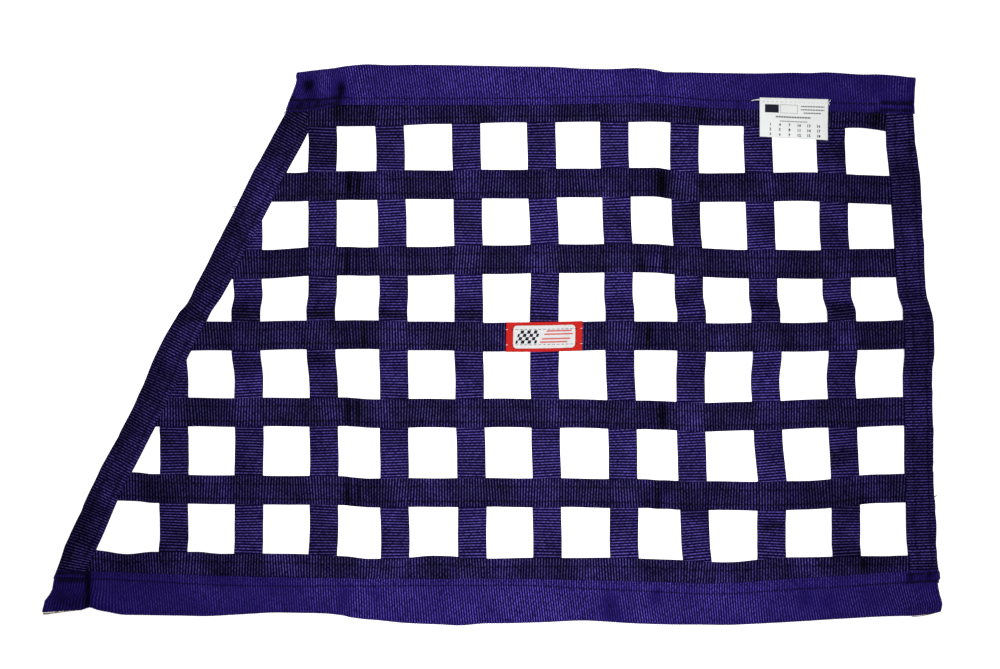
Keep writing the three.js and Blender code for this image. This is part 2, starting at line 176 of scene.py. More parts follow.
# X of the middle of each upright and edge at seven heights
HEIGHT_Y = (-200, -130, -61, 7.5, 73, 140, 206)
UPRIGHTS = {
    "upright_1": (-281.9, -281.5, -281, -281, -281, -281, -281),
    "upright_2": (-215.5, -215, -215, -216, -215.9, -215.9, -215.9),
    "upright_3": (-149.6, -148.7, -148.7, -150.2, -149.8, -150.2, -149.6),
    "upright_4": (-85.4, -86.3, -86.5, -86.5, -87.6, -89.4, -90.7),
    "upright_5": (-17.3, -17.7, -19.5, -20.4, -20.8, -21.7, -23.5),
    "upright_6": (49.1, 48.5, 47.3, 45.9, 46.9, 44.5, 43.4),
    "upright_7": (117.3, 116.4, 115, 112.2, 112, 109.5, 107.5),
    "upright_8": (181.9, 178.1, 175.9, 175.4, 173.7, 170.8, 169.9),
    "upright_9": (246.9, 247.8, 243, 241, 239, 236.5, 235),
    "upright_10": (313.7, 312.8, 310, 307.8, 304, 301.5, 298.2),
}
UPRIGHT_TOPS = {"upright_1": -8.0, "upright_2": 113.0}
EDGES = {
    "edge_slant": (-371.5, -341.5, -306.1, -272, -237, -202.5, -167.3),
    "edge_right": (381, 378.3, 377, 374.5, 369.5, 365.2, 359.4),
}

# The rows from the top down: their nodes' stem, number, course and lift off the table
ROWS = (
    ("border_top", 0, "border_top", "layer"),
    ("crossbar", 1, "row_1", 0.0),
    ("crossbar", 2, "row_2", 0.0),
    ("crossbar", 3, "row_3", FOLD_LIFT),
    ("crossbar", 4, "row_4", 0.0),
    ("crossbar", 5, "row_5", 0.0),
    ("border_bottom", 0, "border_bottom", "layer"),
)

# The sleeves. left and right are X of their ends at the seam and at the fold, and the two
# shapes how far an end stands out to the right of the straight line between those, at shares of
# the way from seam to fold. seam_detail and fold_detail are how far the seam and the fold stand
# above their courses, lean how far the ribs lean, second_row how far from the seam the second
# stitch row runs, and tone how brightly the sleeve shows as painted light and shade, each at X.
SLEEVES = (
    {
        "name": "rod_sleeve_top", "outward": 1, "row": 0, "seam": "top_seam", "fold": "top_fold",
        "left": (-181.0, -171.6), "right": (372.1, 373.4),
        "seam_detail": (
            (-400, 0), (-200, 0), (-181, -1.6), (-161, -3.6), (-138, -1.2), (-122, 0), (400, 0),
        ),
        "lean": (
            (-135, 0.2), (-99, 0.16), (-46, 0.16), (25, 0.125), (78, 0.115), (113, 0.13), (149, 0.1),
            (184, 0.155), (220, 0.18), (255, 0.155), (290, 0.125), (326, 0.12),
        ),
        "tone": (
            (-175, 0.5), (-100, 0.52), (-40, 0.68), (140, 0.7), (190, 0.32), (240, 0.16), (310, 0.26),
            (370, 0.18),
        ),
        "left_shape": ((0, 0), (0.08, -0.7), (0.26, 0), (0.49, 1.2), (0.76, 1.8), (0.9, 0), (1, 0)),
        "right_shape": ((0, 0), (0.3, -0.8), (0.6, -0.9), (0.85, -0.4), (1, 0)),
        "second_row": (
            (-183, 10.4), (-161, 9.6), (-133, 6.2), (-60, 5.8), (100, 6.2), (180, 7), (300, 7.5),
            (374, 8),
        ),
        "fold_detail": (
            (-183, -0.2), (-167, -0.7), (-143, -0.8), (-127, 0.2), (-112, 0.2), (-90, -0.4), (-60, 0),
            (0, 0), (48, 0), (64, -0.5), (80, -1.4), (96, -1.5), (112, -0.9), (127, 0.2), (137, -0.1),
            (145, -0.9), (152, -2.1), (159, -1.8), (167, -1.2), (180, -0.4), (231, -1.0), (263, -0.4),
            (279, -0.6), (295, 0.3), (325, -0.4), (342, 0.3), (358, -0.2), (366, -1.0), (375, -1.4),
        ),
    },
    {
        "name": "rod_sleeve_bottom", "outward": -1, "row": 6, "seam": "bottom_seam",
        "fold": "bottom_fold", "left": (-383.3, -396.6), "right": (392.7, 398.0),
        "seam_detail": ((-400, 0), (0, 0), (400, 0)),
        "lean": (
            (-365, 0.0), (-311, 0.13), (-258, 0.105), (-152, 0.09), (-117, 0.055), (-81, 0.078),
            (-46, 0.11), (25, 0.13), (96, 0.13), (131, 0.16), (166, 0.14), (202, 0.08), (237, 0.09),
            (273, 0.18), (308, 0.2), (343, 0.28),
        ),
        "tone": ((-390, 0.0), (-300, 0.12), (-150, 0.45), (-50, 0.7), (130, 0.7), (220, 0.5), (390, 0.4)),
        "left_shape": ((0, 0), (0.26, 0.8), (0.53, 2.4), (0.65, -1.2), (0.8, -0.6), (1, 0)),
        "right_shape": (
            (0, 0), (0.1, 1.6), (0.22, 0.8), (0.3, -2), (0.52, -1.8), (0.79, -0.4), (0.9, -1.6), (1, -3),
        ),
        "second_row": (
            (-386, 6.4), (-300, 7), (-222, 8.2), (-80, 6), (20, 5.6), (110, 8), (180, 9), (300, 9.5),
            (393, 10),
        ),
        "fold_detail": (
            (-398, -1.4), (-387, -0.5), (-379, 0.3), (-371, 1.0), (-364, 1.3), (-355, 3.9),
            (-347, 1.8), (-339, 0.4), (-323, -1.8), (-275, -1.3), (-259, -1.3), (-219, 1.0), (-188, 2.7),
            (-148, 2.3), (-132, 0.9), (-124, -0.4), (-108, -0.1), (-77, -1.6), (-44, -1.9), (-32, -2.3),
            (-4, 0.1), (12, 0.4), (43, 1.6), (83, 3.4), (95, 2.9), (123, 1.2), (155, 0.2), (187, -0.2),
            (219, -0.9), (258, -1.0), (274, -0.8), (306, -0.2), (346, 0.2), (362, 0), (370, -0.3),
            (386, 0.7), (394, 2.0), (399, 3.2),
        ),
    },
)

# Bar tacks: the sleeve, X of their ends, and how far from the seam each row of one lies there
TACKS = (
    (0, -179, -133, ((2.2, 2.2), (10.6, 6.2))),
    (0, 342, 370, ((2.4, 2.4), (9.2, 9.2))),
    (1, -382, -355, ((1.8, 1.8), (8.2, 8.2))),
    (1, 364, 391, ((2.4, 2.4), (9.2, 9.2))),
)

# A bar tack's threads: the length and width of one, its turn from the row and how far that
# strays, and how far they stand off the cloth
TACK_THREAD = {"Length": 0.0030, "Width": 0.0007, "Turn": math.radians(74), "Stray": 0.32}
TACK_LIFT = 0.1

# The label's left and right sides, its top, how far its right side stands lower, the length of
# its left side in the photo's view, how much longer its right side is, and what it hangs over:
# how far down it, and how high that is
LABEL = {"left": 235.3, "right": 295.7, "top": 217.2, "fall": 1.6, "left_length": 33.8, "slack": 2.0}
LABEL_HANG = ((0, 8), (13.1, 8), (27.5, 6.6), (38, 5.6))
LABEL_LENGTH = 36.0

# The patch's sides, its middle up the net and its height, how far its right side stands higher,
# and how far its middle bows down
PATCH = {"left": 12.3, "right": 79.3, "middle": 7.1, "height": 26.0, "tilt": 1.2, "bow": 0.35}

# The patch's stitch rows: their places up it, how far from a side they start and where the pale
# thread at their ends meets the dark one
PATCH_SEAMS = (6.2, 19.6)
PATCH_SEAM_START, PATCH_SEAM_CHANGE = 0.8, 5.5

# Small crumples in the cloth: X, Y, half length, half width, degrees from X and height
CRUMPLES = (
    (-148, 163, 11, 4, 12, -0.9),
    (-149, 156, 10, 3, -8, 0.7),
    (299, 176, 13, 4, 20, -1.0),
    (362, 171, 15, 4, -24, -1.0),
    (376, -12, 14, 5, 18, -0.9),
    (48, -18, 11, 4, -14, -0.8),
    (113, -20, 12, 4, 16, -0.9),
    (311, -98, 12, 4, -12, -0.8),
    (246, -160, 12, 4, 10, -0.8),
    (-230, 40, 12, 4, 35, -0.7),
    (-150, 40, 12, 5, 4, 0.8),
    (-87, 38, 12, 4, 0, 0.8),
    (175, 96, 13, 4, 8, -0.7),
    (44, 100, 12, 4, -10, 0.6),
    (-18, -96, 11, 4, 14, -0.6),
    (-282, -62, 10, 4, -20, -0.6),
)

# Dents in the hollow fronts of the sleeves: X, Y, half length, half width, degrees and depth
SLEEVE_DENTS = (
    (-162, 228, 6, 9, 8, -2.2),
    (-158, 219, 6, 5, 0, -1.4),
    (-135, 226, 5.5, 11, -6, -2.4),
    (-129, 217, 7, 5, 0, -1.4),
    (-148, 230, 4, 12, -10, 1.0),
    (-116, 231, 4, 13, 4, 1.1),
    (151, 237, 6, 9, -12, -2.6),
    (141, 228, 3.5, 14, 3, 1.0),
    (-356, -218, 3.5, 18, -3, -2.6),
    (-346, -222, 6, 14, 6, 0.9),
    (-366, -228, 8, 6, 10, -1.2),
    (-131, -227, 5, 12, -4, -1.8),
    (-118, -226, 3.5, 15, 0, 1.0),
    (-103, -221, 6, 8, 8, -1.4),
    (104, -228, 6, 11, 0, -2.4),
    (107, -240, 9, 7, 0, -1.8),
    (145, -222, 5, 8, 10, -1.6),
    (132, -229, 4, 14, -6, 1.0),
    (277, -229, 7, 6, 10, -1.8),
    (299, -228, 6, 6, -10, -1.4),
    (342, 226, 6, 12, 10, -0.9),
)


# Sizes and colours that a user would change


def length_property(name, description, default):
    return bpy.props.FloatProperty(
        name=name, description=description, default=default, unit="LENGTH", precision=5)


class NetSizes(bpy.types.PropertyGroup):
    ribbon_width: length_property("Ribbon width", "Width of the ribbon webbing", 0.0254)
    thickness: length_property("Webbing thickness", "Thickness of one layer of webbing", 0.0013)
    rib_pitch: length_property("Rib pitch", "Distance from one woven rib to the next", 0.00248)
    sleeve_rib_pitch: length_property("Sleeve rib pitch", "The same in the sleeves", 0.00221)
    rib_height: length_property("Rib height", "Height of a woven rib above its valleys", 0.00034)
    stitch_pitch: length_property("Stitch pitch", "Distance from one stitch to the next", 0.004)
    stitch_length: length_property("Stitch length", "Length of thread that shows in one", 0.0031)
    thread_width: length_property("Thread width", "Thickness of the sewing thread", 0.0007)
    tack_pitch: length_property("Bar tack pitch", "Distance between a bar tack's threads", 0.0009)
    camera_height: length_property("Camera height", "Height of the camera above the table", 1.3036)


def colour_property(name, description, default):
    return bpy.props.FloatVectorProperty(
        name=name, description=description, default=default, size=3, subtype="COLOR",
        min=0.0, max=1.0)


class NetColours(bpy.types.PropertyGroup):
    # In each crest and valley pair, the far darker valley colour is painted shade in the hollows between
    # the ribs
    ribbon_crest: colour_property("Ribbon crest", "Ribs of the ribbon", (0.110, 0.080, 0.390))
    ribbon_valley: colour_property("Ribbon valley", "Between its ribs", (0.0030, 0.0010, 0.026))
    # Painted shade: the ribbons' crest and valley colours for shaded cloth, mixed in by the tone
    shade_crest: colour_property("Shaded crest", "Ribs where it is pressed", (0.040, 0.029, 0.132))
    shade_valley: colour_property("Shaded valley", "Valleys there", (0.0010, 0.0004, 0.0085))
    sleeve_crest: colour_property("Sleeve crest", "Ribs of the sleeves", (0.138, 0.085, 0.610))
    sleeve_valley: colour_property("Sleeve valley", "Between them", (0.0035, 0.0012, 0.033))
    # Painted shade: the sleeves' crest and valley colours for shaded cloth, with less contrast, mixed in
    # by the tone
    dull_crest: colour_property("Dull sleeve crest", "Ribs where it is dull", (0.036, 0.020, 0.232))
    dull_valley: colour_property("Dull sleeve valley", "Valleys there", (0.0095, 0.0045, 0.072))
    thread: colour_property("Thread", "Sewing thread of the seams", (0.004, 0.002, 0.018))
    lining: colour_property("Lining yarn", "Tan yarns at the sleeves' corners", (0.30, 0.20, 0.11))
    label: colour_property("Label cloth", "White woven label", (0.76, 0.775, 0.765))
    ink: colour_property("Label print", "Rules and figures on the label", (0.008, 0.008, 0.02))
    patch: colour_property("Patch cloth", "Red woven ground of the patch", (0.47, 0.012, 0.009))
    patch_field: colour_property("Patch field", "White field of the patch", (0.57, 0.57, 0.57))
    table: colour_property("Table", "The plain surface under the net", (0.90, 0.90, 0.90))


# Courses


def curve_through(xs, ys):
    """A smooth curve through points, without overshoot, as a function of an array"""
    xs, ys = np.asarray(xs, float), np.asarray(ys, float)
    slopes = np.diff(ys) / np.diff(xs)
    before = slopes[np.maximum(np.arange(len(xs)) - 1, 0)]
    after = slopes[np.minimum(np.arange(len(xs)), len(slopes) - 1)]
    total = np.where(before + after == 0, 1.0, before + after)
    tangents = np.where(before * after <= 0, 0.0, 2 * before * after / total)

    def course(x):
        x = np.asarray(x, float)
        held = np.clip(x, xs[0], xs[-1])
        i = np.clip(np.searchsorted(xs, held, side="right") - 1, 0, len(xs) - 2)
        span = xs[i + 1] - xs[i]
        t = (held - xs[i]) / span
        ease = t * t * (3 - 2 * t)
        leave = t * (1 - t) ** 2 * span * tangents[i]
        arrive = t * t * (1 - t) * span * tangents[i + 1]
        beyond = np.minimum(x - xs[0], 0) * tangents[0] + np.maximum(x - xs[-1], 0) * tangents[-1]
        return ys[i] + (ys[i + 1] - ys[i]) * ease + leave - arrive + beyond

    return course


def curve_of(points):
    return curve_through(*zip(*points))


def smooth(t):
    """0 below 0, 1 above 1, and eased between"""
    t = np.clip(t, 0.0, 1.0)
    return t * t * (3 - 2 * t)


def inside(x, low, high, blur):
    """1 between low and high, 0 outside them, and eased over the blur at both"""
    return smooth((x - low) / blur + 0.5) * smooth((high - x) / blur + 0.5)


def eased(points):
    """Heights eased from point to point, level at each, as a function of an array"""
    xs, zs = np.asarray(sorted(points), float).T

    def height(x):
        x = np.clip(x, xs[0], xs[-1])
        i = np.clip(np.searchsorted(xs, x, side="right") - 1, 0, len(xs) - 2)
        span = np.maximum(xs[i + 1] - xs[i], 1e-6)
        return zs[i] + (zs[i + 1] - zs[i]) * smooth((x - xs[i]) / span)

    return height


def level(z):
    """The same height everywhere, as a function of an array"""
    return lambda x: z + 0 * x


def bumps(table, x, y):
    """The sum of the small oval bumps and dents of a table at points x, y"""
    total = np.zeros(np.broadcast(x, y).shape)
    for bx, by, length, width, degrees, height in table:
        turn = math.radians(degrees)
        along = (x - bx) * math.cos(turn) + (y - by) * math.sin(turn)
        across = (y - by) * math.cos(turn) - (x - bx) * math.sin(turn)
        total += height * np.exp(-((along / length) ** 2) - (across / width) ** 2)
    return total


def patchiness(along, across, waves, phase=0.0):
    """Soft light and dark: a slow wave along the cloth and a fast one askew, each as its height
    and its lengths over two pi"""
    (slow, slow_length), (fast, fast_along, fast_across) = waves
    askew = np.sin(along / fast_along + across / fast_across)
    return slow * np.sin(along / slow_length + phase) + fast * askew


def lie(x, y):
    """How far the cloth stands off the table where it doesn't lie quite flat. It is the same
    for every layer at a point, so that the layers stay apart."""
    long_swell = np.sin(x / 19.0 + 1.4 * np.sin(y / 37.0)) * np.sin(y / 24.0 + 0.6)
    short_swell = np.sin(x / 7.1 + y / 29.0) * np.sin(y / 9.3 - x / 41.0 + 1.1)
    swell = 0.55 * (1 + long_swell) + 0.22 * (1 + short_swell)
    return np.maximum(swell + bumps(CRUMPLES, x, y) + 0.9, 0.05) - 0.05


class Upright:
    """The plan of a ribbon that runs from bottom to top"""

    def __init__(self, name, line):
        self.name = name
        self.middle = curve_through(HEIGHT_Y, line)
        self.top = UPRIGHT_TOPS.get(name, math.inf)

    def slope(self, y):
        return self.middle(y + 0.5) - self.middle(y - 0.5)

    def half(self, y):
        return HALF * np.hypot(1, self.slope(y))

    def left(self, y):
        return self.middle(y) - self.half(y)

    def right(self, y):
        return self.middle(y) + self.half(y)


class Row:
    """A row's course, the uprights it crosses and the heights of its ribbons"""

    def __init__(self, index, entry, net):
        stem, self.number, line, lift = entry
        self.stem, self.index, self.net = stem, index, net
        self.lift = net.layer if lift == "layer" else lift
        self.folded = lift == FOLD_LIFT
        course = curve_through(STATION_X, LINES[line])
        bow = curve_of(ROW_BOWS.get(line, STRAIGHT))
        self.y = lambda x: course(x) + bow(np.clip(x, -BOW_REACH, BOW_REACH))
        right_end = net.right.right(self.y(net.right.middle(HEIGHT_Y[0])))
        self.slant_y = float(self.y(net.slant.middle(self.y(HEIGHT_Y[0]))))
        spans = []
        for upright in net.uprights:
            if upright.top > self.y(upright.middle(self.slant_y)):
                middle_y = self.y(upright.middle(self.slant_y))
                spans.append((upright.left(middle_y) - MARGIN, upright.right(middle_y) + MARGIN))
        slant_side = net.slant.right(self.slant_y + HALF) + MARGIN
        self.joined = spans[0][0] < slant_side
        self.zone_left = spans[0][1] if self.joined else slant_side
        self.zone_right = net.right.left(self.y(right_end)) - MARGIN
        self.start = net.slant.left(self.slant_y) + 1
        self.end = net.right.right(self.y(net.right.middle(self.slant_y))) - 1
        layer, left, right = net.layer, self.zone_left, self.zone_right
        self.edge_rise = eased([
            (left, layer), (left + ROW_SLOPE, 0), (right - ROW_SLOPE, 0), (right, layer)])
        points = [(left, layer), (left + ROW_SLOPE, 0)] if self.joined else []
        for start, end in spans[1 if self.joined else 0:]:
            points += [
                (start - ROW_SLOPE, 0), (start, layer), (end, layer), (end + ROW_SLOPE, 0)]
        self.crossing_rise = eased(points)

    def node(self, side):
        return f"{self.stem}_{side}_{self.number}" if self.number else f"{self.stem}_{side}"

    def over_uprights(self, x, y):
        """Where the front ribbon lies over an upright, and where it bends down beside one"""
        over, bent = np.zeros_like(x), np.zeros_like(x)
        for upright in self.net.uprights:
            if upright.top < self.y(upright.middle(self.slant_y)):
                continue
            left, right = upright.left(y), upright.right(y)
            over = np.maximum(over, inside(x, left, right, 1.2))
            for edge in (left, right):
                bent = np.maximum(bent, np.exp(-(((x - edge) / 1.1) ** 2)))
        return over, bent

    def fold_rise(self, x):
        if not self.number:
            return np.zeros_like(x)
        rise = np.zeros_like(x)
        for fold in FOLDS:
            rise = rise + fold["rise"] * smooth(1 - np.abs(x - fold["x"]) / fold["reach"])
        return rise

    def back(self, x):
        return self.lift + self.fold_rise(x) + self.edge_rise(x)

    def front(self, x):
        return self.back(x) + self.net.layer + self.crossing_rise(x)


class Net:
    """Every course and height of the net, in millimetres"""

    def __init__(self, sizes):
        self.thickness = sizes.thickness / MM
        self.layer = self.thickness + GAP
        self.rib_pitch = sizes.rib_pitch / MM
        self.sleeve_rib_pitch = sizes.sleeve_rib_pitch / MM
        self.rib_height = sizes.rib_height / MM
        self.slant = Upright("edge_slant", EDGES["edge_slant"])
        self.right = Upright("edge_right", EDGES["edge_right"])
        self.uprights = [Upright(name, line) for name, line in UPRIGHTS.items()]
        self.rows = [Row(index, entry, self) for index, entry in enumerate(ROWS)]

    def bends(self, plan, at_row, in_bay):
        """The bends of an upright piece from the bottom up: Y, and its height there at any X"""
        bends = []
        last = len(self.rows) - 1
        for row in reversed(self.rows):
            y = float(row.y(plan.middle(row.slant_y)))
            held = functools.partial(at_row, row)
            low, high = row.index == last, row.index == 0
            if not low:
                slope = FOLD_SLOPE["below"] if row.folded else UPRIGHT_SLOPE
                bends.append((y - HALF - MARGIN - slope, level(in_bay(row.index))))
            bends.append((y - HALF + 1 if low else y - HALF - MARGIN, held))
            bends.append((y + HALF - 1 if high else y + HALF + MARGIN, held))
            if row.folded:
                crest = lambda x, held=held: held(x) + FOLD_CREST["rise"]
                bends.append((y + HALF + MARGIN + FOLD_CREST["above"], crest))
            if not high:
                slope = FOLD_SLOPE["above"] if row.folded else UPRIGHT_SLOPE
                bends.append((y + HALF + MARGIN + slope, level(in_bay(row.index - 1))))
        return bends

    def upright_bends(self, upright):
        """An upright that starts inside the slanted edge follows that edge's back ribbon"""
        own = self.bends(upright, lambda row, x: row.back(x) + self.layer, lambda bay: 0.0)
        if upright.top == math.inf:
            return own
        edge = self.bends(self.slant, lambda row, x: row.lift + 0 * x, lambda bay: 0.0)
        edge_height = eased([(y, float(height(0.0))) for y, height in edge])
        first = next(row for row in self.rows if row.y(upright.middle(0)) < upright.top)
        join_y = float(first.y(self.slant.middle(first.slant_y))) + HALF + MARGIN
        bends = [(y, height) for y, height in own if y < join_y - 1]
        bends.append((join_y, lambda x: first.back(x) + self.layer))
        for y, _ in edge:
            if join_y + 1 < y < upright.top - 1:
                bends.append((y, level(float(edge_height(y)) + self.layer)))
        bends.append((upright.top, level(edge_height(upright.top) + self.layer)))
        return bends

    def edge_bends(self, plan, side):
        if side == "back":
            return self.bends(plan, lambda row, x: row.lift + 0 * x, lambda bay: 0.0)
        starting = START_BAYS if plan is self.slant else ()
        zone = lambda row: plan.middle(row.slant_y)
        return self.bends(
            plan, lambda row, x: row.front(zone(row)) + self.layer + 0 * x,
            lambda bay: self.layer * (2 if bay in starting else 1))


def height_of(bends):
    """The eased height between bends, as a function of arrays x and y"""
    ys = np.array([y for y, _ in bends])

    def height(x, y):
        levels = np.stack([held(x) + 0 * x for _, held in bends])
        within = np.clip(y, ys[0], ys[-1])
        i = np.clip(np.searchsorted(ys, within, side="right") - 1, 0, len(ys) - 2)
        t = smooth((within - ys[i]) / (ys[i + 1] - ys[i]))
        low = np.take_along_axis(levels, i[None], 0)[0]
        high = np.take_along_axis(levels, i[None] + 1, 0)[0]
        return low + (high - low) * t

    return height


# Cloth meshes


def rib_profile(along, pitch, height):
    """Relief of the ribs, 0 in the valleys: broad round crests with sharp valleys"""
    return height * (np.abs(np.sin(np.pi * along / pitch)) ** 0.8 - 0.55)


def unit(vectors):
    return vectors / np.maximum(np.linalg.norm(vectors, axis=-1, keepdims=True), 1e-9)


def in_frame(points):
    """The tables' millimetres as the frame's metres"""
    return (np.asarray(points, float) - (CENTRE_X, 0, 0)) * MM


def cloth_mesh(name, middle, weave, tone, face):
    """A closed sheet round a grid of points in millimetres. face is how far its two faces lie
    from the grid, weave the place along and across the cloth, and tone how brightly it shows as
    painted light and shade, from 0 for shaded cloth to 1 for cloth that catches the light, and
    down to -1 for the deepest painted shade."""
    rows, columns = middle.shape[:2]
    normal = unit(np.cross(np.gradient(middle, axis=0), np.gradient(middle, axis=1)))
    reach = normal * face[..., None]
    points = in_frame(np.concatenate([(middle + reach).reshape(-1, 3), (middle - reach).reshape(-1, 3)]))
    top = np.arange(rows * columns).reshape(rows, columns)
    low = top + rows * columns

    def quads(a, b, c, d):
        return np.stack([a, b, c, d], axis=-1).reshape(-1, 4)

    faces = np.concatenate([
        quads(top[:-1, :-1], top[1:, :-1], top[1:, 1:], top[:-1, 1:]),
        quads(low[:-1, :-1], low[:-1, 1:], low[1:, 1:], low[1:, :-1]),
        quads(top[:-1, 0], low[:-1, 0], low[1:, 0], top[1:, 0]),
        quads(top[:-1, -1], top[1:, -1], low[1:, -1], low[:-1, -1]),
        quads(top[0, :-1], top[0, 1:], low[0, 1:], low[0, :-1]),
        quads(top[-1, :-1], low[-1, :-1], low[-1, 1:], top[-1, 1:]),
    ])
    mesh = bpy.data.meshes.new(name)
    mesh.vertices.add(len(points))
    mesh.vertices.foreach_set("co", points.ravel())
    mesh.loops.add(faces.size)
    mesh.loops.foreach_set("vertex_index", faces.ravel())
    mesh.polygons.add(len(faces))
    mesh.polygons.foreach_set("loop_start", np.arange(0, faces.size, 4))
    mesh.polygons.foreach_set("use_smooth", np.ones(len(faces), bool))
    both = np.concatenate([weave.reshape(-1, 2)] * 2)
    layer = mesh.uv_layers.new(name="weave")
    layer.data.foreach_set("uv", both[faces.ravel()].ravel())
    shade = mesh.attributes.new("tone", "FLOAT", "POINT")
    shade.data.foreach_set("value", np.concatenate([tone.ravel()] * 2))
    mesh.update()
    mesh.validate()
    return mesh


def new_piece(name, mesh, material):
    piece = bpy.data.objects.new(name, mesh)
    bpy.context.scene.collection.objects.link(piece)
    mesh.materials.clear()
    mesh.materials.append(material)
    return piece


def finish_piece(piece, slot, *nodes):
    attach(piece, BODY)
    if nodes:
        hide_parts(*nodes)
    return piece


# Places across a ribbon, as shares of its half width, and how much of its thickness is there
FRONT_COLUMNS = (
    (-1, 0.45), (-0.94, 1), (-0.6, 0.72), (-0.1, 1.05), (0.42, 0.72), (0.94, 1), (1, 0.45))
PLAIN_COLUMNS = ((-1, 0.45), (-0.93, 1), (-0.4, 1), (0.4, 1), (0.93, 1), (1, 0.45))


# The two ribbons of a row or edge: side, columns, and stations to each rib of a row
SIDES = (("back", PLAIN_COLUMNS, 2), ("front", FRONT_COLUMNS, 4))


def ribbon_face(net, along, columns):
    """How far the two faces of a ribbon lie from its middle, with the ribs in them"""
    share = np.array([c[1] for c in columns])[None, :]
    relief = rib_profile(along, net.rib_pitch, net.rib_height)
    return net.thickness / 2 * share + relief * np.minimum(share, 1)


def stations(length, pitch, per_rib):
    """Even places along a ribbon, so many to each rib"""
    ribs = max(int(round(length / pitch)), 1)
    return np.linspace(0, ribs * pitch, ribs * per_rib + 1), length / (ribs * pitch)


# Painted light and shade: how brightly each row shows between its crossings, from the top down, and every
# row at them
ROW_TONES = (0.32, 0.19, 0.14, 0.15, 0.24, 0.33, 0.42)
CROSSING_TONE = 0.37

# How much painted shade darkens a row where it bends down beside an upright
BEND_SHADE = 0.25

# The soft light and dark along the rows, the uprights and the sleeves
ROW_PATCHES = ((0.14, 15.0), (0.10, 6.1, 8.0))
UPRIGHT_PATCHES = ((0.13, 19.0), (0.08, 5.3, 7.0))
SLEEVE_PATCHES = ((0.12, 26.0), (0.07, 8.0, 6.0))

# How strongly painted light and shade show on the sleeves: at dents and their ridges, around the bar
# tacks and at the dark marks
SLEEVE_SHADES = {"dent": 0.34, "tack": 1.1, "shade_mark": 1.3}


def row_grid(net, row, side, columns, per_rib):
    """The middle surface of a row's ribbon, its places in the weave and its tone"""
    along, stretch = stations(row.end - row.start, net.rib_pitch, per_rib)
    across = HALF * np.array([c[0] for c in columns])
    x = row.start + along * stretch
    slant_slope = float(net.slant.slope(row.slant_y))
    shear = slant_slope * (1 - smooth((x - row.start) / 20.0))
    sway = 0.05 * np.sin(x / 23.0 + row.index) + 0.04 * np.sin(x / 9.0 + 2.1 * row.index)
    shear = shear + sway * smooth((x - row.start) / 12.0) * smooth((row.end - x) / 12.0)
    x = x[:, None] + across[None, :] * shear[:, None]
    edge_wave = 0.25 * np.sin(x / 11.0 + 1.7 * row.index + (0.4 if side == "back" else 0))
    y = row.y(x) + across[None, :] + edge_wave
    resting = (row.front if side == "front" else row.back)(x)
    z = resting + net.thickness / 2 + lie(x, y)
    weave = np.stack([along[:, None] + 0 * x, across[None, :] + 0 * x], axis=-1)
    lit, bent = row.over_uprights(x, y)
    # The row's tone is painted light and shade: brighter over an upright, painted shade where it bends
    # beside one and at the dark marks, with random patches
    patchy = patchiness(x, y, ROW_PATCHES, 2.3 * row.index)
    base = ROW_TONES[row.index]
    tone = base + (CROSSING_TONE - base) * lit - BEND_SHADE * bent + patchy - bumps(PAINTED_SHADE_MARKS, x, y)
    return np.stack([x, y, z], axis=-1), weave, np.clip(tone, -1, 1)


# Painted light and shade: how brightly each edge and upright shows, how much painted shade darkens
# the slanted edge on its left against its middle, and the painted shade of the crease that the uprights
# keep above the middle row
UPRIGHT_TONES = {
    "edge_slant": 0.4, "edge_right": 0.45, "upright_1": 0.6, "upright_2": 0.64, "upright_3": 0.56,
    "upright_4": 0.68, "upright_5": 0.7, "upright_6": 0.78, "upright_7": 0.72,
    "upright_8": 0.64, "upright_9": 0.72, "upright_10": 0.58,
}
SLANT_SHADE = 0.24
CREASE = {"above": HALF + MARGIN + 2.0, "width": 3.2, "shade": 0.38}

# How far from the bottom and top end an edge's ribs start to turn square to its cut
FAN_LOW, FAN_HIGH = 44.0, 15.0


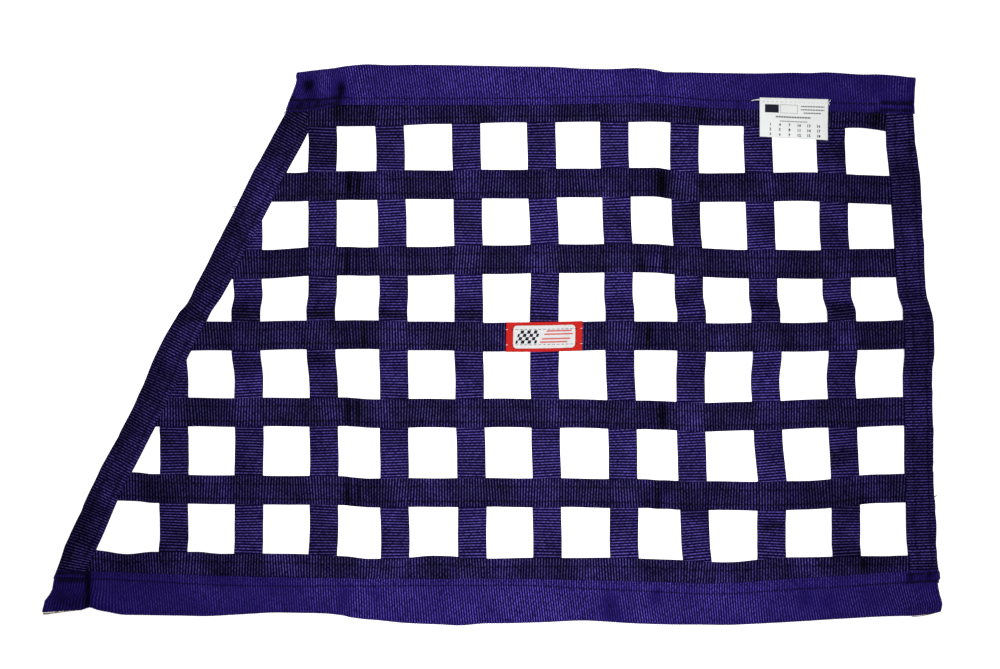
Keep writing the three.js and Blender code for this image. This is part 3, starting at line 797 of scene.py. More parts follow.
def vertical_grid(net, plan, bends, columns, fan):
    """The middle surface of an upright or edge from the bottom up, its weave and its tone.
    With fan its ends are cut level, and its ribs turn square to it away from them."""
    low, high = bends[0][0], bends[-1][0]
    fine = np.linspace(low, high, 400)
    steps = np.hypot(np.diff(plan.middle(fine)), np.diff(fine))
    length = steps.sum()
    along, stretch = stations(length, net.rib_pitch, 4)
    y = np.interp(along * stretch, np.concatenate([[0], np.cumsum(steps)]), fine)
    slope = plan.slope(y)
    size = np.hypot(1, slope)
    near_low, near_high = 1 - smooth((y - low) / FAN_LOW), 1 - smooth((high - y) / FAN_HIGH)
    near_end = np.maximum(0.6 * near_low, near_high) if fan else 0 * y
    skew = slope * near_end
    if not fan:
        skew = skew + 0.04 * np.sin(y / 17.0 + plan.middle(0.0)) * smooth((high - y) / 9.0)
    across = HALF * np.array([c[0] for c in columns])[None, :] + 0 * y[:, None]
    if plan.name == "edge_slant" and columns is FRONT_COLUMNS:
        tucked = 1 - SLANT_TUCK["share"] * smooth((y - SLANT_TUCK["from"]) / SLANT_TUCK["over"])
        across = np.where(across < 0, across * tucked[:, None], across)
    px = plan.middle(y)[:, None] - across * ((1 + skew * slope) / size)[:, None]
    py = y[:, None] + across * ((slope - skew) / size)[:, None]
    px = px + 0.22 * np.sin(py / 9.0 + plan.middle(0.0))
    if fan:
        outer = across if plan is net.slant else -across
        sides = curve_of(EDGE_SIDES[plan.name])(np.clip(py, HEIGHT_Y[0], HEIGHT_Y[-1]))
        px = px + sides * smooth(outer / HALF)
    z = height_of(bends)(px, py) + net.thickness / 2 + lie(px, py)
    weave = np.stack([along[:, None] + 0 * px, across], axis=-1)
    # The tone is painted light and shade: a darker left side on the slanted edge, painted shade in the
    # crease above the middle row and at the dark marks, with random patches
    patchy = patchiness(py, px, UPRIGHT_PATCHES, plan.middle(0.0))
    middle_row = next(row for row in net.rows if row.folded)
    crease = np.exp(-(((py - middle_row.y(px) - CREASE["above"]) / CREASE["width"]) ** 2))
    if plan is net.slant:
        patchy = patchy - SLANT_SHADE * across / HALF
    tone = UPRIGHT_TONES[plan.name] + patchy - CREASE["shade"] * crease - bumps(PAINTED_SHADE_MARKS, px, py)
    return np.stack([px, py, z], axis=-1), weave, np.clip(tone, -1, 1)


# Finishes


class Wire:
    """An output of a finish's nodes. Arithmetic on it adds Math nodes."""

    def __init__(self, finish, socket):
        self.finish = finish
        self.socket = socket

    def _math(self, operation, *values):
        node = self.finish.add(
            "ShaderNodeMath", {"operation": operation}, dict(enumerate(values)))
        return Wire(self.finish, node.outputs[0])

    def __add__(self, other):
        return self._math("ADD", self, other)

    __radd__ = __add__

    def __mul__(self, other):
        return self._math("MULTIPLY", self, other)

    __rmul__ = __mul__

    def __sub__(self, other):
        return self._math("SUBTRACT", self, other)

    def __rsub__(self, other):
        return self._math("SUBTRACT", other, self)

    def __truediv__(self, other):
        return self._math("DIVIDE", self, other)

    def __pow__(self, other):
        return self._math("POWER", self, other)

    def __abs__(self):
        return self._math("ABSOLUTE", self)

    def sine(self):
        return self._math("SINE", self)

    def wave(self):
        """A wave from 0 to 1, once for every whole number"""
        return (self * TAU).sine() * 0.5 + 0.5

    def floor(self):
        return self._math("FLOOR", self)

    def fraction(self):
        return self._math("FRACT", self)

    def modulo(self, other):
        return self._math("FLOORED_MODULO", self, other)

    def least(self, other):
        return self._math("MINIMUM", self, other)

    def most(self, other):
        return self._math("MAXIMUM", self, other)

    def step(self, low, high):
        """0 below low, 1 above high and eased between; the other way round if high is lower"""
        rising = high > low
        node = self.finish.add(
            "ShaderNodeMapRange", {"interpolation_type": "SMOOTHSTEP"},
            {
                "Value": self, "From Min": min(low, high), "From Max": max(low, high),
                "To Min": 0.0 if rising else 1.0, "To Max": 1.0 if rising else 0.0,
            })
        return Wire(self.finish, node.outputs["Result"])

    def within(self, low, high, soft):
        """1 from low to high and 0 beyond a soft edge outside them"""
        return self.step(low - soft, low) * self.step(high + soft, high)


def strongest(wires):
    """The greatest of some wires, or None if there are none"""
    return functools.reduce(Wire.most, wires) if wires else None


def darker(colour, share):
    return tuple(part * share for part in colour)


class Finish:
    """A material on one shader, with what varies over the cloth added as nodes"""

    def __init__(self, name, **fixed):
        self.material = bpy.data.materials.new(name)
        self.material.use_nodes = True
        self.tree = self.material.node_tree
        self.shader = self.tree.nodes["Principled BSDF"]
        for socket, value in fixed.items():
            self.put(self.shader.inputs[socket.replace("_", " ")], value)

    def put(self, socket, value):
        if isinstance(value, Wire):
            self.tree.links.new(value.socket, socket)
        elif socket.type == "RGBA" and len(value) == 3:
            socket.default_value = (*value, 1.0)
        else:
            socket.default_value = value

    def add(self, kind, settings, sockets):
        """A node of a type, with its settings first and then its sockets' values or links"""
        node = self.tree.nodes.new(kind)
        for key, value in settings.items():
            setattr(node, key, value)
        for key, value in sockets.items():
            self.put(node.inputs[key], value)
        return node

    def wire(self, kind, settings, sockets, output=0):
        return Wire(self, self.add(kind, settings, sockets).outputs[output])

    def mix(self, factor, first, second):
        """Colours mixed by a factor"""
        node = self.add("ShaderNodeMix", {"data_type": "RGBA"}, {"Factor": factor})
        self.put(node.inputs[6], first)
        self.put(node.inputs[7], second)
        return Wire(self, node.outputs[2])

    def scaled(self, colour, factor):
        """A colour times a number"""
        return self.wire("ShaderNodeVectorMath", {"operation": "SCALE"}, {0: colour, "Scale": factor})

    def weave(self):
        """The place along and across the cloth, in millimetres"""
        place = self.wire("ShaderNodeUVMap", {"uv_map": "weave"}, {})
        split = self.add("ShaderNodeSeparateXYZ", {}, {0: place})
        return Wire(self, split.outputs["X"]), Wire(self, split.outputs["Y"])

    def tone(self):
        return self.wire("ShaderNodeAttribute", {"attribute_name": "tone"}, {}, "Fac")

    def noise(self, scale, detail=2.0):
        """Soft noise in the object's own space, from about 0 to 1"""
        place = self.wire("ShaderNodeTexCoord", {}, {}, "Object")
        return self.wire(
            "ShaderNodeTexNoise", {}, {"Vector": place, "Scale": scale, "Detail": detail})

    def surface(self, colour, roughness, height, relief):
        """Links the colour, the roughness and a height in metres to the shader"""
        self.put(self.shader.inputs["Base Color"], colour)
        self.put(self.shader.inputs["Roughness"], roughness)
        bump = self.wire(
            "ShaderNodeBump", {}, {"Strength": 1.0, "Distance": relief, "Height": height}, "Normal")
        self.put(self.shader.inputs["Normal"], bump)
        return self.material


TAU = 2 * math.pi
# The webbing's weave: from bead to bead along a rib in millimetres, how far a bead strays, the
# scales of the noises, how strong the specks are, how wide a seam's pull is at its foot and at its
# bottom, and the depth of the relief in metres
BEAD_PITCH, BEAD_STRAY = 3.8, 1.2
STRAY_SCALE, BLOTCH_SCALE, SPECK_SCALE = 230.0, 42.0, 420.0
SPECK_STRENGTH = 3.6
PULL_WIDTH, PULL_BOTTOM = 1.1, 0.25
WEBBING_RELIEF, THREAD_RELIEF, LABEL_RELIEF = 0.0004, 0.0002, 0.00012
PATCH_RELIEF, TABLE_RELIEF = 0.0003, 0.00005

# How much painted shade darkens the cloth where its tone falls to -1, and a pulled seam
DEEPEST_SHADE, PULL_SHADE = 0.88, 0.45


def webbing_finish(name, pitch, bright, shaded, seams):
    """Ribbed nylon webbing: bright and shaded are each a crest and a valley colour, mixed by the
    tone as painted light and shade, and seams are the places across it where stitching pulls it
    down, with how strongly, and darkens it with painted shade"""
    finish = Finish(name, Specular_IOR_Level=0.015, Coat_Roughness=0.42)
    along, across = finish.weave()
    rib = along / (pitch / MM)
    side = rib.floor().modulo(2.0)
    ridge = 1.0 - abs(rib.fraction() * 2.0 - 1.0)
    crest = ridge.step(0.42, 0.98)
    stray = finish.noise(STRAY_SCALE) * BEAD_STRAY
    bead = (across / BEAD_PITCH + side * 0.5 + stray).wave().step(0.15, 0.85)
    strand = (across * 1.1 + along * 0.6).wave()
    blotch = finish.noise(BLOTCH_SCALE)
    speck = ((finish.noise(SPECK_SCALE, 4.0) - 0.5) * SPECK_STRENGTH + 0.95).most(0.1)
    pulled = strongest([
        abs(across - seam).step(PULL_WIDTH, PULL_BOTTOM) * pull for seam, pull in seams])
    # Painted light and shade from the tone, with random blotches
    lit = (finish.tone() + (blotch - 0.5) * 0.6).step(0.0, 1.0)
    cover = crest * (0.52 + bead * 0.48)
    shine = cover * speck
    # From valley to crest colour: painted shade in the rib hollows, brighter crests with random specks
    colour = finish.mix(
        lit, finish.mix(shine, shaded[1], shaded[0]), finish.mix(shine, bright[1], bright[0]))
    # Random blotches, with painted shade where the tone falls below 0 and, below, at pulled seams
    blotch_and_shade = (0.74 + blotch * 0.52) * (1.0 + finish.tone().least(0.0) * DEEPEST_SHADE)
    height = crest * 0.4 + bead * crest * 0.3 + strand * crest * 0.3
    # A pulled seam sinks in the bump and is darkened with painted shade
    if pulled:
        blotch_and_shade = blotch_and_shade * (1.0 - pulled * PULL_SHADE)
        height = height - pulled * 0.4
    finish.put(finish.shader.inputs["Coat Weight"], shine * 0.06)
    return finish.surface(finish.scaled(colour, blotch_and_shade), 0.72 - shine * 0.12, height, WEBBING_RELIEF)


def thread_finish(name, colour):
    """Twisted sewing thread"""
    finish = Finish(name, Specular_IOR_Level=0.08)
    twist = finish.noise(2600.0, 2.0)
    shade = finish.scaled(colour, 0.55 + twist * 0.9)
    return finish.surface(shade, 0.62 - twist * 0.15, twist, THREAD_RELIEF)


# The label's printed rules: their place down it, their ends from its left and their half width
LABEL_RULES = (
    (7.0, 36.5, 57, 0.7), (9.9, 36.5, 57, 0.7), (12.8, 39, 54, 0.7), (17.0, 14, 45, 0.9),
    (20.8, 18, 42, 0.5),
)

# Its plain dark block, the middle and half size of the empty box beside it, and its stitch row
LABEL_BLOCK = {"left": 4.8, "right": 16.7, "top": 6.1, "bottom": 13.3}
LABEL_BOX = {"right": 26.0, "down": 9.7, "half_width": 7.6, "half_height": 3.7}
LABEL_SEAM = {"down": 3.4, "inset": 1.5, "lift": 0.3}

# How soft the edges of the print are
PRINT_EDGE = 0.3


def label_finish(name, colour, ink):
    """White satin label with thin printed rules"""
    finish = Finish(name, Specular_IOR_Level=0.1)
    right, down = finish.weave()
    yarn = ((right * 2.2) * TAU).sine() * ((down * 1.9) * TAU).sine() * 0.5 + 0.5
    stain = finish.noise(60.0, 4.0)
    cloth = finish.scaled(colour, 0.90 + stain * 0.16)
    marks = []
    for place, start, end, width in LABEL_RULES:
        broken = (right * 0.43 + place).fraction().step(0.12, 0.2) * 0.75 + 0.1
        line = abs(down - place).step(width, width * 0.5) * right.within(start, end, 0.2)
        marks.append(line * broken)
    block = right.within(LABEL_BLOCK["left"], LABEL_BLOCK["right"], PRINT_EDGE)
    marks.append(block * down.within(LABEL_BLOCK["top"], LABEL_BLOCK["bottom"], PRINT_EDGE))
    box_x = abs(right - LABEL_BOX["right"]) - LABEL_BOX["half_width"]
    box_y = abs(down - LABEL_BOX["down"]) - LABEL_BOX["half_height"]
    marks.append(abs(box_x.most(box_y)).step(0.3, 0.12) * 0.6)
    # Painted shade in the groove of the stitch row: dark dashes along it
    pressed = abs(down - LABEL_SEAM["down"]).step(0.6, 0.1)
    marks.append(pressed * ((right * 0.25).fraction().step(0.5, 0.7) * 0.35))
    printed = finish.mix(strongest(marks), cloth, ink)
    return finish.surface(printed, 0.5 + stain * 0.12, yarn * 0.6 + stain * 0.4, LABEL_RELIEF)


# The patch's rounded white field: how far its straight sides reach from the middle, and how far
# its corners and sides stand out from there
PATCH_FIELD = {"half_width": 23.8, "half_height": 6.6, "reach": 3.2, "rim": 4.0}

# Its chequer: the size of its blocks, where their lines start and its edges; and how far the
# blocks and bars lean
PATCH_CHECKS = {"pitch": 2.9, "from": 1.4, "left": 9.9, "right": 28.1, "low": 7.4, "high": 18.7}
PATCH_LEAN = 0.28

# Its thin slanted bars: their lower and upper edges and their ends, and their edges' softness
PATCH_BARS = (
    (17.4, 18.7, 34.0, 56.0), (14.6, 15.9, 33.0, 58.0), (10.6, 11.9, 32.0, 57.0),
    (7.8, 9.1, 31.0, 55.0),
)
BAR_EDGE = 0.15


def patch_finish(name, colour, field, ink):
    """Red twill patch with a white rounded field, a chequer and plain bars"""
    finish = Finish(name, Specular_IOR_Level=0.08)
    right, up = finish.weave()
    middle_right, middle_up = (PATCH["right"] - PATCH["left"]) / 2, PATCH["height"] / 2
    twill = (right * 0.9 + up * 0.9).wave()
    grain = finish.noise(700.0, 3.0)
    soil = finish.noise(240.0, 4.0)
    dull = 0.70 + grain * 0.3 + soil * 0.3
    inset_x = (abs(right - middle_right) - PATCH_FIELD["half_width"]).most(0.0)
    inset_y = (abs(up - middle_up) - PATCH_FIELD["half_height"]).most(0.0)
    reach = (inset_x ** 2.0 + inset_y ** 2.0) ** 0.5
    lies_in = reach.step(PATCH_FIELD["reach"] + 0.5, PATCH_FIELD["reach"])
    rim = reach.step(PATCH_FIELD["reach"], PATCH_FIELD["reach"] + 0.4)
    rim = rim * reach.step(PATCH_FIELD["rim"] + 0.4, PATCH_FIELD["rim"])
    lean = right - (up - middle_up) * PATCH_LEAN
    checks, pitch = PATCH_CHECKS, PATCH_CHECKS["pitch"]
    chequer = ((lean / pitch).floor() + ((up - checks["from"]) / pitch).floor()).modulo(2.0)
    block = lean.within(checks["left"], checks["right"], PRINT_EDGE)
    block = block * up.within(checks["low"], checks["high"], PRINT_EDGE)
    bars = strongest([
        up.within(low + BAR_EDGE, high - BAR_EDGE, 2 * BAR_EDGE)
        * lean.within(start + BAR_EDGE, end - BAR_EDGE, 2 * BAR_EDGE)
        for low, high, start, end in PATCH_BARS])
    ground = finish.scaled(finish.mix(twill * 0.35, colour, darker(colour, 0.6)), dull)
    white = finish.scaled(finish.mix(twill * 0.12, field, darker(field, 0.7)), dull)
    marked = finish.mix(chequer * block * lies_in, white, ink)
    marked = finish.mix(bars * lies_in * 0.85, marked, colour)
    shade = finish.mix(rim * 0.35, finish.mix(lies_in, ground, marked), darker(colour, 0.5))
    height = twill * 0.5 + grain * 0.3 + rim * 0.5
    return finish.surface(shade, 0.55 + grain * 0.12, height, PATCH_RELIEF)


def table_finish(name, colour):
    """Plain pale paper on a lit table"""
    finish = Finish(name, Specular_IOR_Level=0.1, Emission_Color=colour, Emission_Strength=0.6)
    grain = finish.noise(300.0, 3.0)
    shade = finish.scaled(colour, 0.985 + grain * 0.03)
    return finish.surface(shade, 0.85 + grain * 0.05, grain, TABLE_RELIEF)


def make_finishes():
    """Every finish of the net, once"""
    if "table_finish" in bpy.data.materials:
        return
    sizes, chosen = bpy.context.scene.net_sizes, bpy.context.scene.net_colours
    colours = {name: tuple(getattr(chosen, name)) for name in NetColours.__annotations__}
    # shaded and dull are the painted shade copies of the ribbon and sleeve colours
    ribbon, shaded, sleeve, dull = (
        (colours[f"{stem}_crest"], colours[f"{stem}_valley"])
        for stem in ("ribbon", "shade", "sleeve", "dull"))
    seams = tuple(zip(SEAMS, SEAM_PULLS))
    webbing_finish("ribbon_finish", sizes.rib_pitch, ribbon, shaded, seams)
    webbing_finish("upright_finish", sizes.rib_pitch, ribbon, shaded, ())
    webbing_finish("sleeve_finish", sizes.sleeve_rib_pitch, sleeve, dull, ((0.0, 1.0),))
    for name, colour in (("dark_thread", "thread"), ("pale_thread", "label"), ("tan_thread", "lining")):
        thread_finish(name, colours[colour])
    label_finish("label_finish", colours["label"], colours["ink"])
    patch_finish("patch_finish", colours["patch"], colours["patch_field"], colours["ink"])
    table_finish("table_finish", colours["table"])


# The sleeves' surfaces


class Sleeve:
    """A rod sleeve: webbing folded round a flattened hollow, sewn on over a border"""

    def __init__(self, net, entry):
        self.__dict__.update(entry)
        self.net = net
        self.border = net.rows[entry["row"]]
        seam_course = curve_through(STATION_X, LINES[entry["seam"]])
        seam_bow = curve_of(entry["seam_detail"])
        self.seam_y = lambda x: seam_course(x) + seam_bow(x)
        self.fold_course = curve_through(STATION_X, LINES[entry["fold"]])
        self.detail = curve_of(entry["fold_detail"])
        self.row_two = curve_of(entry["second_row"])
        self.rib_lean = eased(entry["lean"])
        self.tone = eased(entry["tone"])
        self.left_detail = curve_of(entry["left_shape"])
        self.right_detail = curve_of(entry["right_shape"])
        row, layer = self.border, net.layer
        over_rows = row.lift + 3 * layer
        over_left = float(row.front(net.slant.middle(row.slant_y))) + 2 * layer
        over_right = float(row.front(net.right.middle(row.slant_y))) + 2 * layer
        low, high = row.zone_left + SLEEVE_CORNER_MARGIN, row.zone_right - SLEEVE_CORNER_MARGIN
        self.level = eased([
            (low, over_left), (low + SLEEVE_CORNER_SLOPE, over_rows),
            (high - SLEEVE_CORNER_SLOPE, over_rows), (high, over_right)])

    def fold_y(self, x):
        return self.fold_course(x) + self.detail(x)

    def place(self, x, distance, depth):
        """X and Y of a point so far outward from the seam, on the rib that leaves it at x"""
        left, right = self.left, self.right
        across = np.clip(distance / depth, 0, 1)
        near_left = 1 - smooth((x - left[0]) / SLEEVE_END_REACH)
        near_right = 1 - smooth((right[0] - x) / SLEEVE_END_REACH)
        at_left = (left[1] - left[0]) * across + self.left_detail(across)
        at_right = (right[1] - right[0]) * across + self.right_detail(across)
        lean = -self.outward * self.rib_lean(x) * np.maximum(distance - self.row_two(x), 0)
        between = (1 - near_left) * (1 - near_right)
        return (
            x + at_left * near_left + at_right * near_right + lean * between,
            self.seam_y(x) + self.outward * distance,
        )

    def depth(self, x):
        """How far outward the fold lies on the rib that leaves the seam at x"""
        depth = np.abs(self.fold_y(x) - self.seam_y(x))
        for _ in range(3):
            fold_x, _ = self.place(x, depth, depth)
            depth = np.abs(self.fold_y(fold_x) - self.seam_y(x))
        return depth

    def front_height(self, x, distance, depth, px, py):
        """The middle of the front flap above the table"""
        thick = self.net.thickness
        outer = SLEEVE_HEIGHT / 2
        hidden = self.outward * (self.border.y(x) - self.seam_y(x)) + HALF + SLEEVE_SEAM_FLAT
        rise = smooth((distance - hidden) / (depth - outer - hidden))
        base = self.level(x) + (SLEEVE_HEIGHT - thick - self.level(x)) * rise
        pulled = np.exp(-(((distance - self.row_two(x)) / SLEEVE_DIP["width"]) ** 2))
        hollow = smooth((distance - self.row_two(x) - 1) / 5.0)
        swell = 0.55 * np.sin(x / 14.0 + 1.1 * self.row) * hollow * smooth((depth - distance) / 8.0)
        dents = bumps(SLEEVE_DENTS, px, py) * smooth((distance - self.row_two(x) + 1) / 3.0)
        return base + thick / 2 - SLEEVE_DIP["depth"] * pulled + swell + dents + lie(px, py)

    def add_seam(self, seams, x, distance, lift):
        """A stitch row so far from the seam, on the front and the back"""
        depth = self.depth(x)
        px, py = self.place(x, distance, depth)
        top = self.front_height(x, distance, depth, px, py) + self.net.thickness / 2
        seams.add(px, py, top + lift)
        seams.add(px, py, lie(px, py) - lift)


# Where a sleeve's grid lies on its back and front flap, as shares of their depth, and the steps
# of its fold between them
SLEEVE_BACK = (0.0, 0.03, 0.35, 0.7)
SLEEVE_FOLD_STEPS = 6
SLEEVE_FRONT = (0.92, 0.8, 0.66, 0.52, 0.38)


def sleeve_grid(net, sleeve):
    """A sleeve's middle surface from its back seam round the fold to its front seam"""
    length = sleeve.right[0] - sleeve.left[0]
    along, stretch = stations(length, net.sleeve_rib_pitch, 4)
    x = sleeve.left[0] + along * stretch
    depth = sleeve.depth(x)
    outer = SLEEVE_HEIGHT / 2
    radius = outer - net.thickness / 2
    flap = depth - outer
    columns = []

    def column(distance, z, weave_at, share, px, py):
        columns.append((px, py, z, weave_at - sleeve.row_two(x), share + 0 * x))

    back_weave = 2 * depth + 2 * outer
    for part in SLEEVE_BACK:
        distance = flap * part
        px, py = sleeve.place(x, distance, depth)
        z = net.thickness / 2 + lie(px, py)
        column(distance, z, back_weave - distance, 0.5 if part == 0 else 1.0, px, py)
    for step in range(SLEEVE_FOLD_STEPS + 1):
        angle = math.pi * (step / SLEEVE_FOLD_STEPS - 0.5)
        distance = flap + radius * math.cos(angle)
        px, py = sleeve.place(x, distance, depth)
        round_z = outer + radius * math.sin(angle) + lie(px, py)
        share = smooth(step / SLEEVE_FOLD_STEPS)
        front_z = sleeve.front_height(x, flap, depth, px, py)
        z = round_z + share ** 3 * (front_z - round_z)
        travelled = flap + radius * (math.pi / 2 - angle)
        column(distance, z, travelled, 1.0, px, py)
    inner = sleeve.row_two(x)
    front = [flap * part + 0 * x for part in SLEEVE_FRONT]
    front += [inner + 1.8, inner, inner - 1.8, 2.2 + 0 * x, 0.5 + 0 * x, 0 * x]
    for number, distance in enumerate(front):
        px, py = sleeve.place(x, distance, depth)
        z = sleeve.front_height(x, distance, depth, px, py)
        share = 0.5 if number == len(front) - 1 else 1.0
        column(distance, z, distance, share, px, py)
    px, py, z, across, share = (np.stack(values, axis=1) for values in zip(*columns))
    middle = np.stack([px, py, z], axis=-1)
    weave = np.stack([along[:, None] + 0 * px, across], axis=-1)
    # The sleeve's tone: painted light along X, painted light and shade at dents and ridges, painted shade
    # around the bar tacks and at the dark marks, with random patches
    creases = bumps(SLEEVE_DENTS, px, py)
    patchy = patchiness(px, py, SLEEVE_PATCHES)
    tacked = np.zeros_like(px)
    distances = np.abs(py - sleeve.seam_y(x)[:, None])
    for number, low, high, rows in TACKS:
        if SLEEVES[number]["name"] == sleeve.name:
            for ends in rows:
                off = distances - np.interp(px, (low, high), ends)
                tacked = np.maximum(tacked, inside(px, low, high, 2.0) * np.exp(-((off / 1.8) ** 2)))
    tacked = tacked * (1 + 0.45 * np.sin(px / 1.9 + py / 1.1) * np.sin(px / 4.3))
    tone = sleeve.tone(px) + patchy + SLEEVE_SHADES["dent"] * creases
    tone = tone - SLEEVE_SHADES["tack"] * tacked - SLEEVE_SHADES["shade_mark"] * bumps(PAINTED_SHADE_MARKS, px, py)
    tone = np.clip(tone, -1, 1)
    relief = rib_profile(along, net.sleeve_rib_pitch, net.rib_height)[:, None]
    return middle, weave, tone, net.thickness / 2 * share + relief * share


# Seams


class Seams:
    """Courses for stitches: points along each line, gathered into one mesh of edges"""

    def __init__(self):
        self.lines = []

    def add(self, x, y, z):
        self.lines.append(np.stack(np.broadcast_arrays(x, y, z), axis=-1).astype(float))

    def mesh(self, name):
        points = in_frame(np.concatenate(self.lines))
        edges, start = [], 0
        for line in self.lines:
            here = np.arange(start, start + len(line) - 1)
            edges.append(np.stack([here, here + 1], axis=-1))
            start += len(line)
        mesh = bpy.data.meshes.new(name)
        edges = np.concatenate(edges)
        mesh.vertices.add(len(points))
        mesh.vertices.foreach_set("co", points.ravel())
        mesh.edges.add(len(edges))
        mesh.edges.foreach_set("vertices", edges.ravel())
        mesh.update()
        return mesh


class Tree:
    """A Geometry Nodes tree that is built node by node"""

    def __init__(self, name, inputs):
        self.tree = bpy.data.node_groups.new(name, "GeometryNodeTree")
        face = self.tree.interface
        face.new_socket("Geometry", in_out="INPUT", socket_type="NodeSocketGeometry")
        face.new_socket("Geometry", in_out="OUTPUT", socket_type="NodeSocketGeometry")
        for label, kind in inputs:
            face.new_socket(label, in_out="INPUT", socket_type=kind)
        self.start = self.add("NodeGroupInput")
        self.end = self.add("NodeGroupOutput")

    def add(self, kind, settings=None, sockets=None):
        node = self.tree.nodes.new(kind)
        for key, value in (settings or {}).items():
            setattr(node, key, value)
        for key, value in (sockets or {}).items():
            if isinstance(value, bpy.types.NodeSocket):
                self.tree.links.new(value, node.inputs[key])
            else:
                node.inputs[key].default_value = value
        return node


# The seed of the stitches' stray turns
STITCH_SEED = 11


def stitch_tree():
    """Stitches set along every line of a mesh of edges"""
    numbers = [(label, "NodeSocketFloat") for label in ("Pitch", "Length", "Width", "Turn", "Stray")]
    made = Tree("stitches_along_lines", [*numbers, ("Thread", "NodeSocketMaterial")])
    given = made.start.outputs
    curve = made.add("GeometryNodeMeshToCurve", {}, {"Mesh": given["Geometry"]})
    even = made.add(
        "GeometryNodeResampleCurve", {"mode": "LENGTH"},
        {"Curve": curve.outputs[0], "Length": given["Pitch"]})
    ball = made.add("GeometryNodeMeshUVSphere", {}, {"Segments": 5, "Rings": 3, "Radius": 0.5})
    size = made.add(
        "ShaderNodeCombineXYZ", {},
        {"X": given["Length"], "Y": given["Width"], "Z": given["Width"]})
    stitch = made.add(
        "GeometryNodeTransform", {}, {"Geometry": ball.outputs["Mesh"], "Scale": size.outputs[0]})
    tangent = made.add("GeometryNodeInputTangent")
    facing = made.add(
        "FunctionNodeAlignRotationToVector", {"axis": "X"}, {"Vector": tangent.outputs[0]})
    low, high = (
        made.add("ShaderNodeMath", {"operation": operation}, {0: given["Turn"], 1: given["Stray"]})
        for operation in ("SUBTRACT", "ADD"))
    stray = made.add(
        "FunctionNodeRandomValue", {"data_type": "FLOAT"},
        {2: low.outputs[0], 3: high.outputs[0], "Seed": STITCH_SEED})
    turn = made.add(
        "FunctionNodeAxisAngleToRotation", {}, {"Axis": (0, 0, 1), "Angle": stray.outputs[1]})
    turned = made.add(
        "FunctionNodeRotateRotation", {"rotation_space": "LOCAL"},
        {"Rotation": facing.outputs[0], "Rotate By": turn.outputs[0]})
    placed = made.add(
        "GeometryNodeInstanceOnPoints", {},
        {
            "Points": even.outputs[0], "Instance": stitch.outputs["Geometry"],
            "Rotation": turned.outputs[0],
        })
    real = made.add("GeometryNodeRealizeInstances", {}, {"Geometry": placed.outputs[0]})
    soft = made.add("GeometryNodeSetShadeSmooth", {}, {"Geometry": real.outputs[0]})
    sewn = made.add(
        "GeometryNodeSetMaterial", {},
        {"Geometry": soft.outputs[0], "Material": given["Thread"]})
    made.tree.links.new(sewn.outputs[0], made.end.inputs[0])
    return made.tree


def sew(name, seams, values):
    """Runs the stitch tree along the seams and keeps the result as a plain mesh"""
    tree = bpy.data.node_groups.get("stitches_along_lines") or stitch_tree()
    piece = bpy.data.objects.new(name, seams.mesh(name))
    bpy.context.scene.collection.objects.link(piece)
    modifier = piece.modifiers.new("Stitches", "NODES")
    modifier.node_group = tree
    for item in tree.interface.items_tree:
        if item.item_type == "SOCKET" and item.in_out == "INPUT" and item.name in values:
            modifier[item.identifier] = values[item.name]
    evaluated = piece.evaluated_get(bpy.context.evaluated_depsgraph_get())
    mesh = bpy.data.meshes.new_from_object(evaluated)
    piece.modifiers.remove(modifier)
    piece.data = mesh
    if not len(mesh.polygons):
        raise RuntimeError(f"no stitches were made for {name}")
    return piece


def seam_values(thread="dark_thread", **changed):
    """What the stitch tree is given for a plain seam, and what is other for this one"""
    sizes = bpy.context.scene.net_sizes
    return {
        "Pitch": sizes.stitch_pitch, "Length": sizes.stitch_length, "Width": sizes.thread_width,
        "Turn": 0.0, "Stray": 0.06, "Thread": bpy.data.materials[thread], **changed,
    }


def tube_mesh(name, lines, radius, sides=5):
    """Closed tubes of thread along lines of points, in millimetres"""
    points, faces = [], []
    for line in lines:
        line = np.asarray(line, float)
        ahead = unit(np.gradient(line, axis=0))
        side = unit(np.cross(ahead, np.array([0.13, 0.21, 1.0])))
        up = np.cross(side, ahead)
        base = len(points)
        for at, s, u in zip(line, side, up):
            for k in range(sides):
                angle = TAU * k / sides
                points.append(at + radius * (math.cos(angle) * s + math.sin(angle) * u))
        for i in range(len(line) - 1):
            for k in range(sides):
                a, b = base + i * sides + k, base + i * sides + (k + 1) % sides
                faces.append((a, a + sides, b + sides, b))
        last = base + (len(line) - 1) * sides
        faces.append(tuple(range(base, base + sides)))
        faces.append(tuple(reversed(range(last, last + sides))))
    mesh = bpy.data.meshes.new(name)
    mesh.from_pydata(in_frame(points).tolist(), [], faces)
    mesh.polygons.foreach_set("use_smooth", np.ones(len(mesh.polygons), bool))
    mesh.update()
    return mesh


# Operators: one for the stage and one for each group of like pieces


class NetOperator:
    """What the operators share"""

    bl_options = {"REGISTER", "UNDO"}

    @staticmethod
    def net():
        make_finishes()
        return Net(bpy.context.scene.net_sizes)


# The camera's place over the net, its lens and film in millimetres and where it starts to see
CAMERA = {"x": 0.0065, "y": 0.0088, "lens": 52.9, "film": 36.0, "near": 0.05}

# The table's half size and how far it lies under the net
TABLE = {"reach": 6.0, "drop": 0.0004}

# The lamps, with the middle one a soft round spot, and the light from all round
KEY_LIGHT = {"energy": 11.5, "shape": "DISK", "size": 0.4}
KEY_PLACE, KEY_TARGET = (0.02, 0.1, 1.5), (0.02, 0.0, 0.0)
MIDDLE_LIGHT = {
    "energy": 75.0, "spot_size": math.radians(37), "spot_blend": 1.0, "shadow_soft_size": 0.15,
}
MIDDLE_PLACE = (0.05, -0.03, 1.5)
BACKDROP_STRENGTH = 0.2


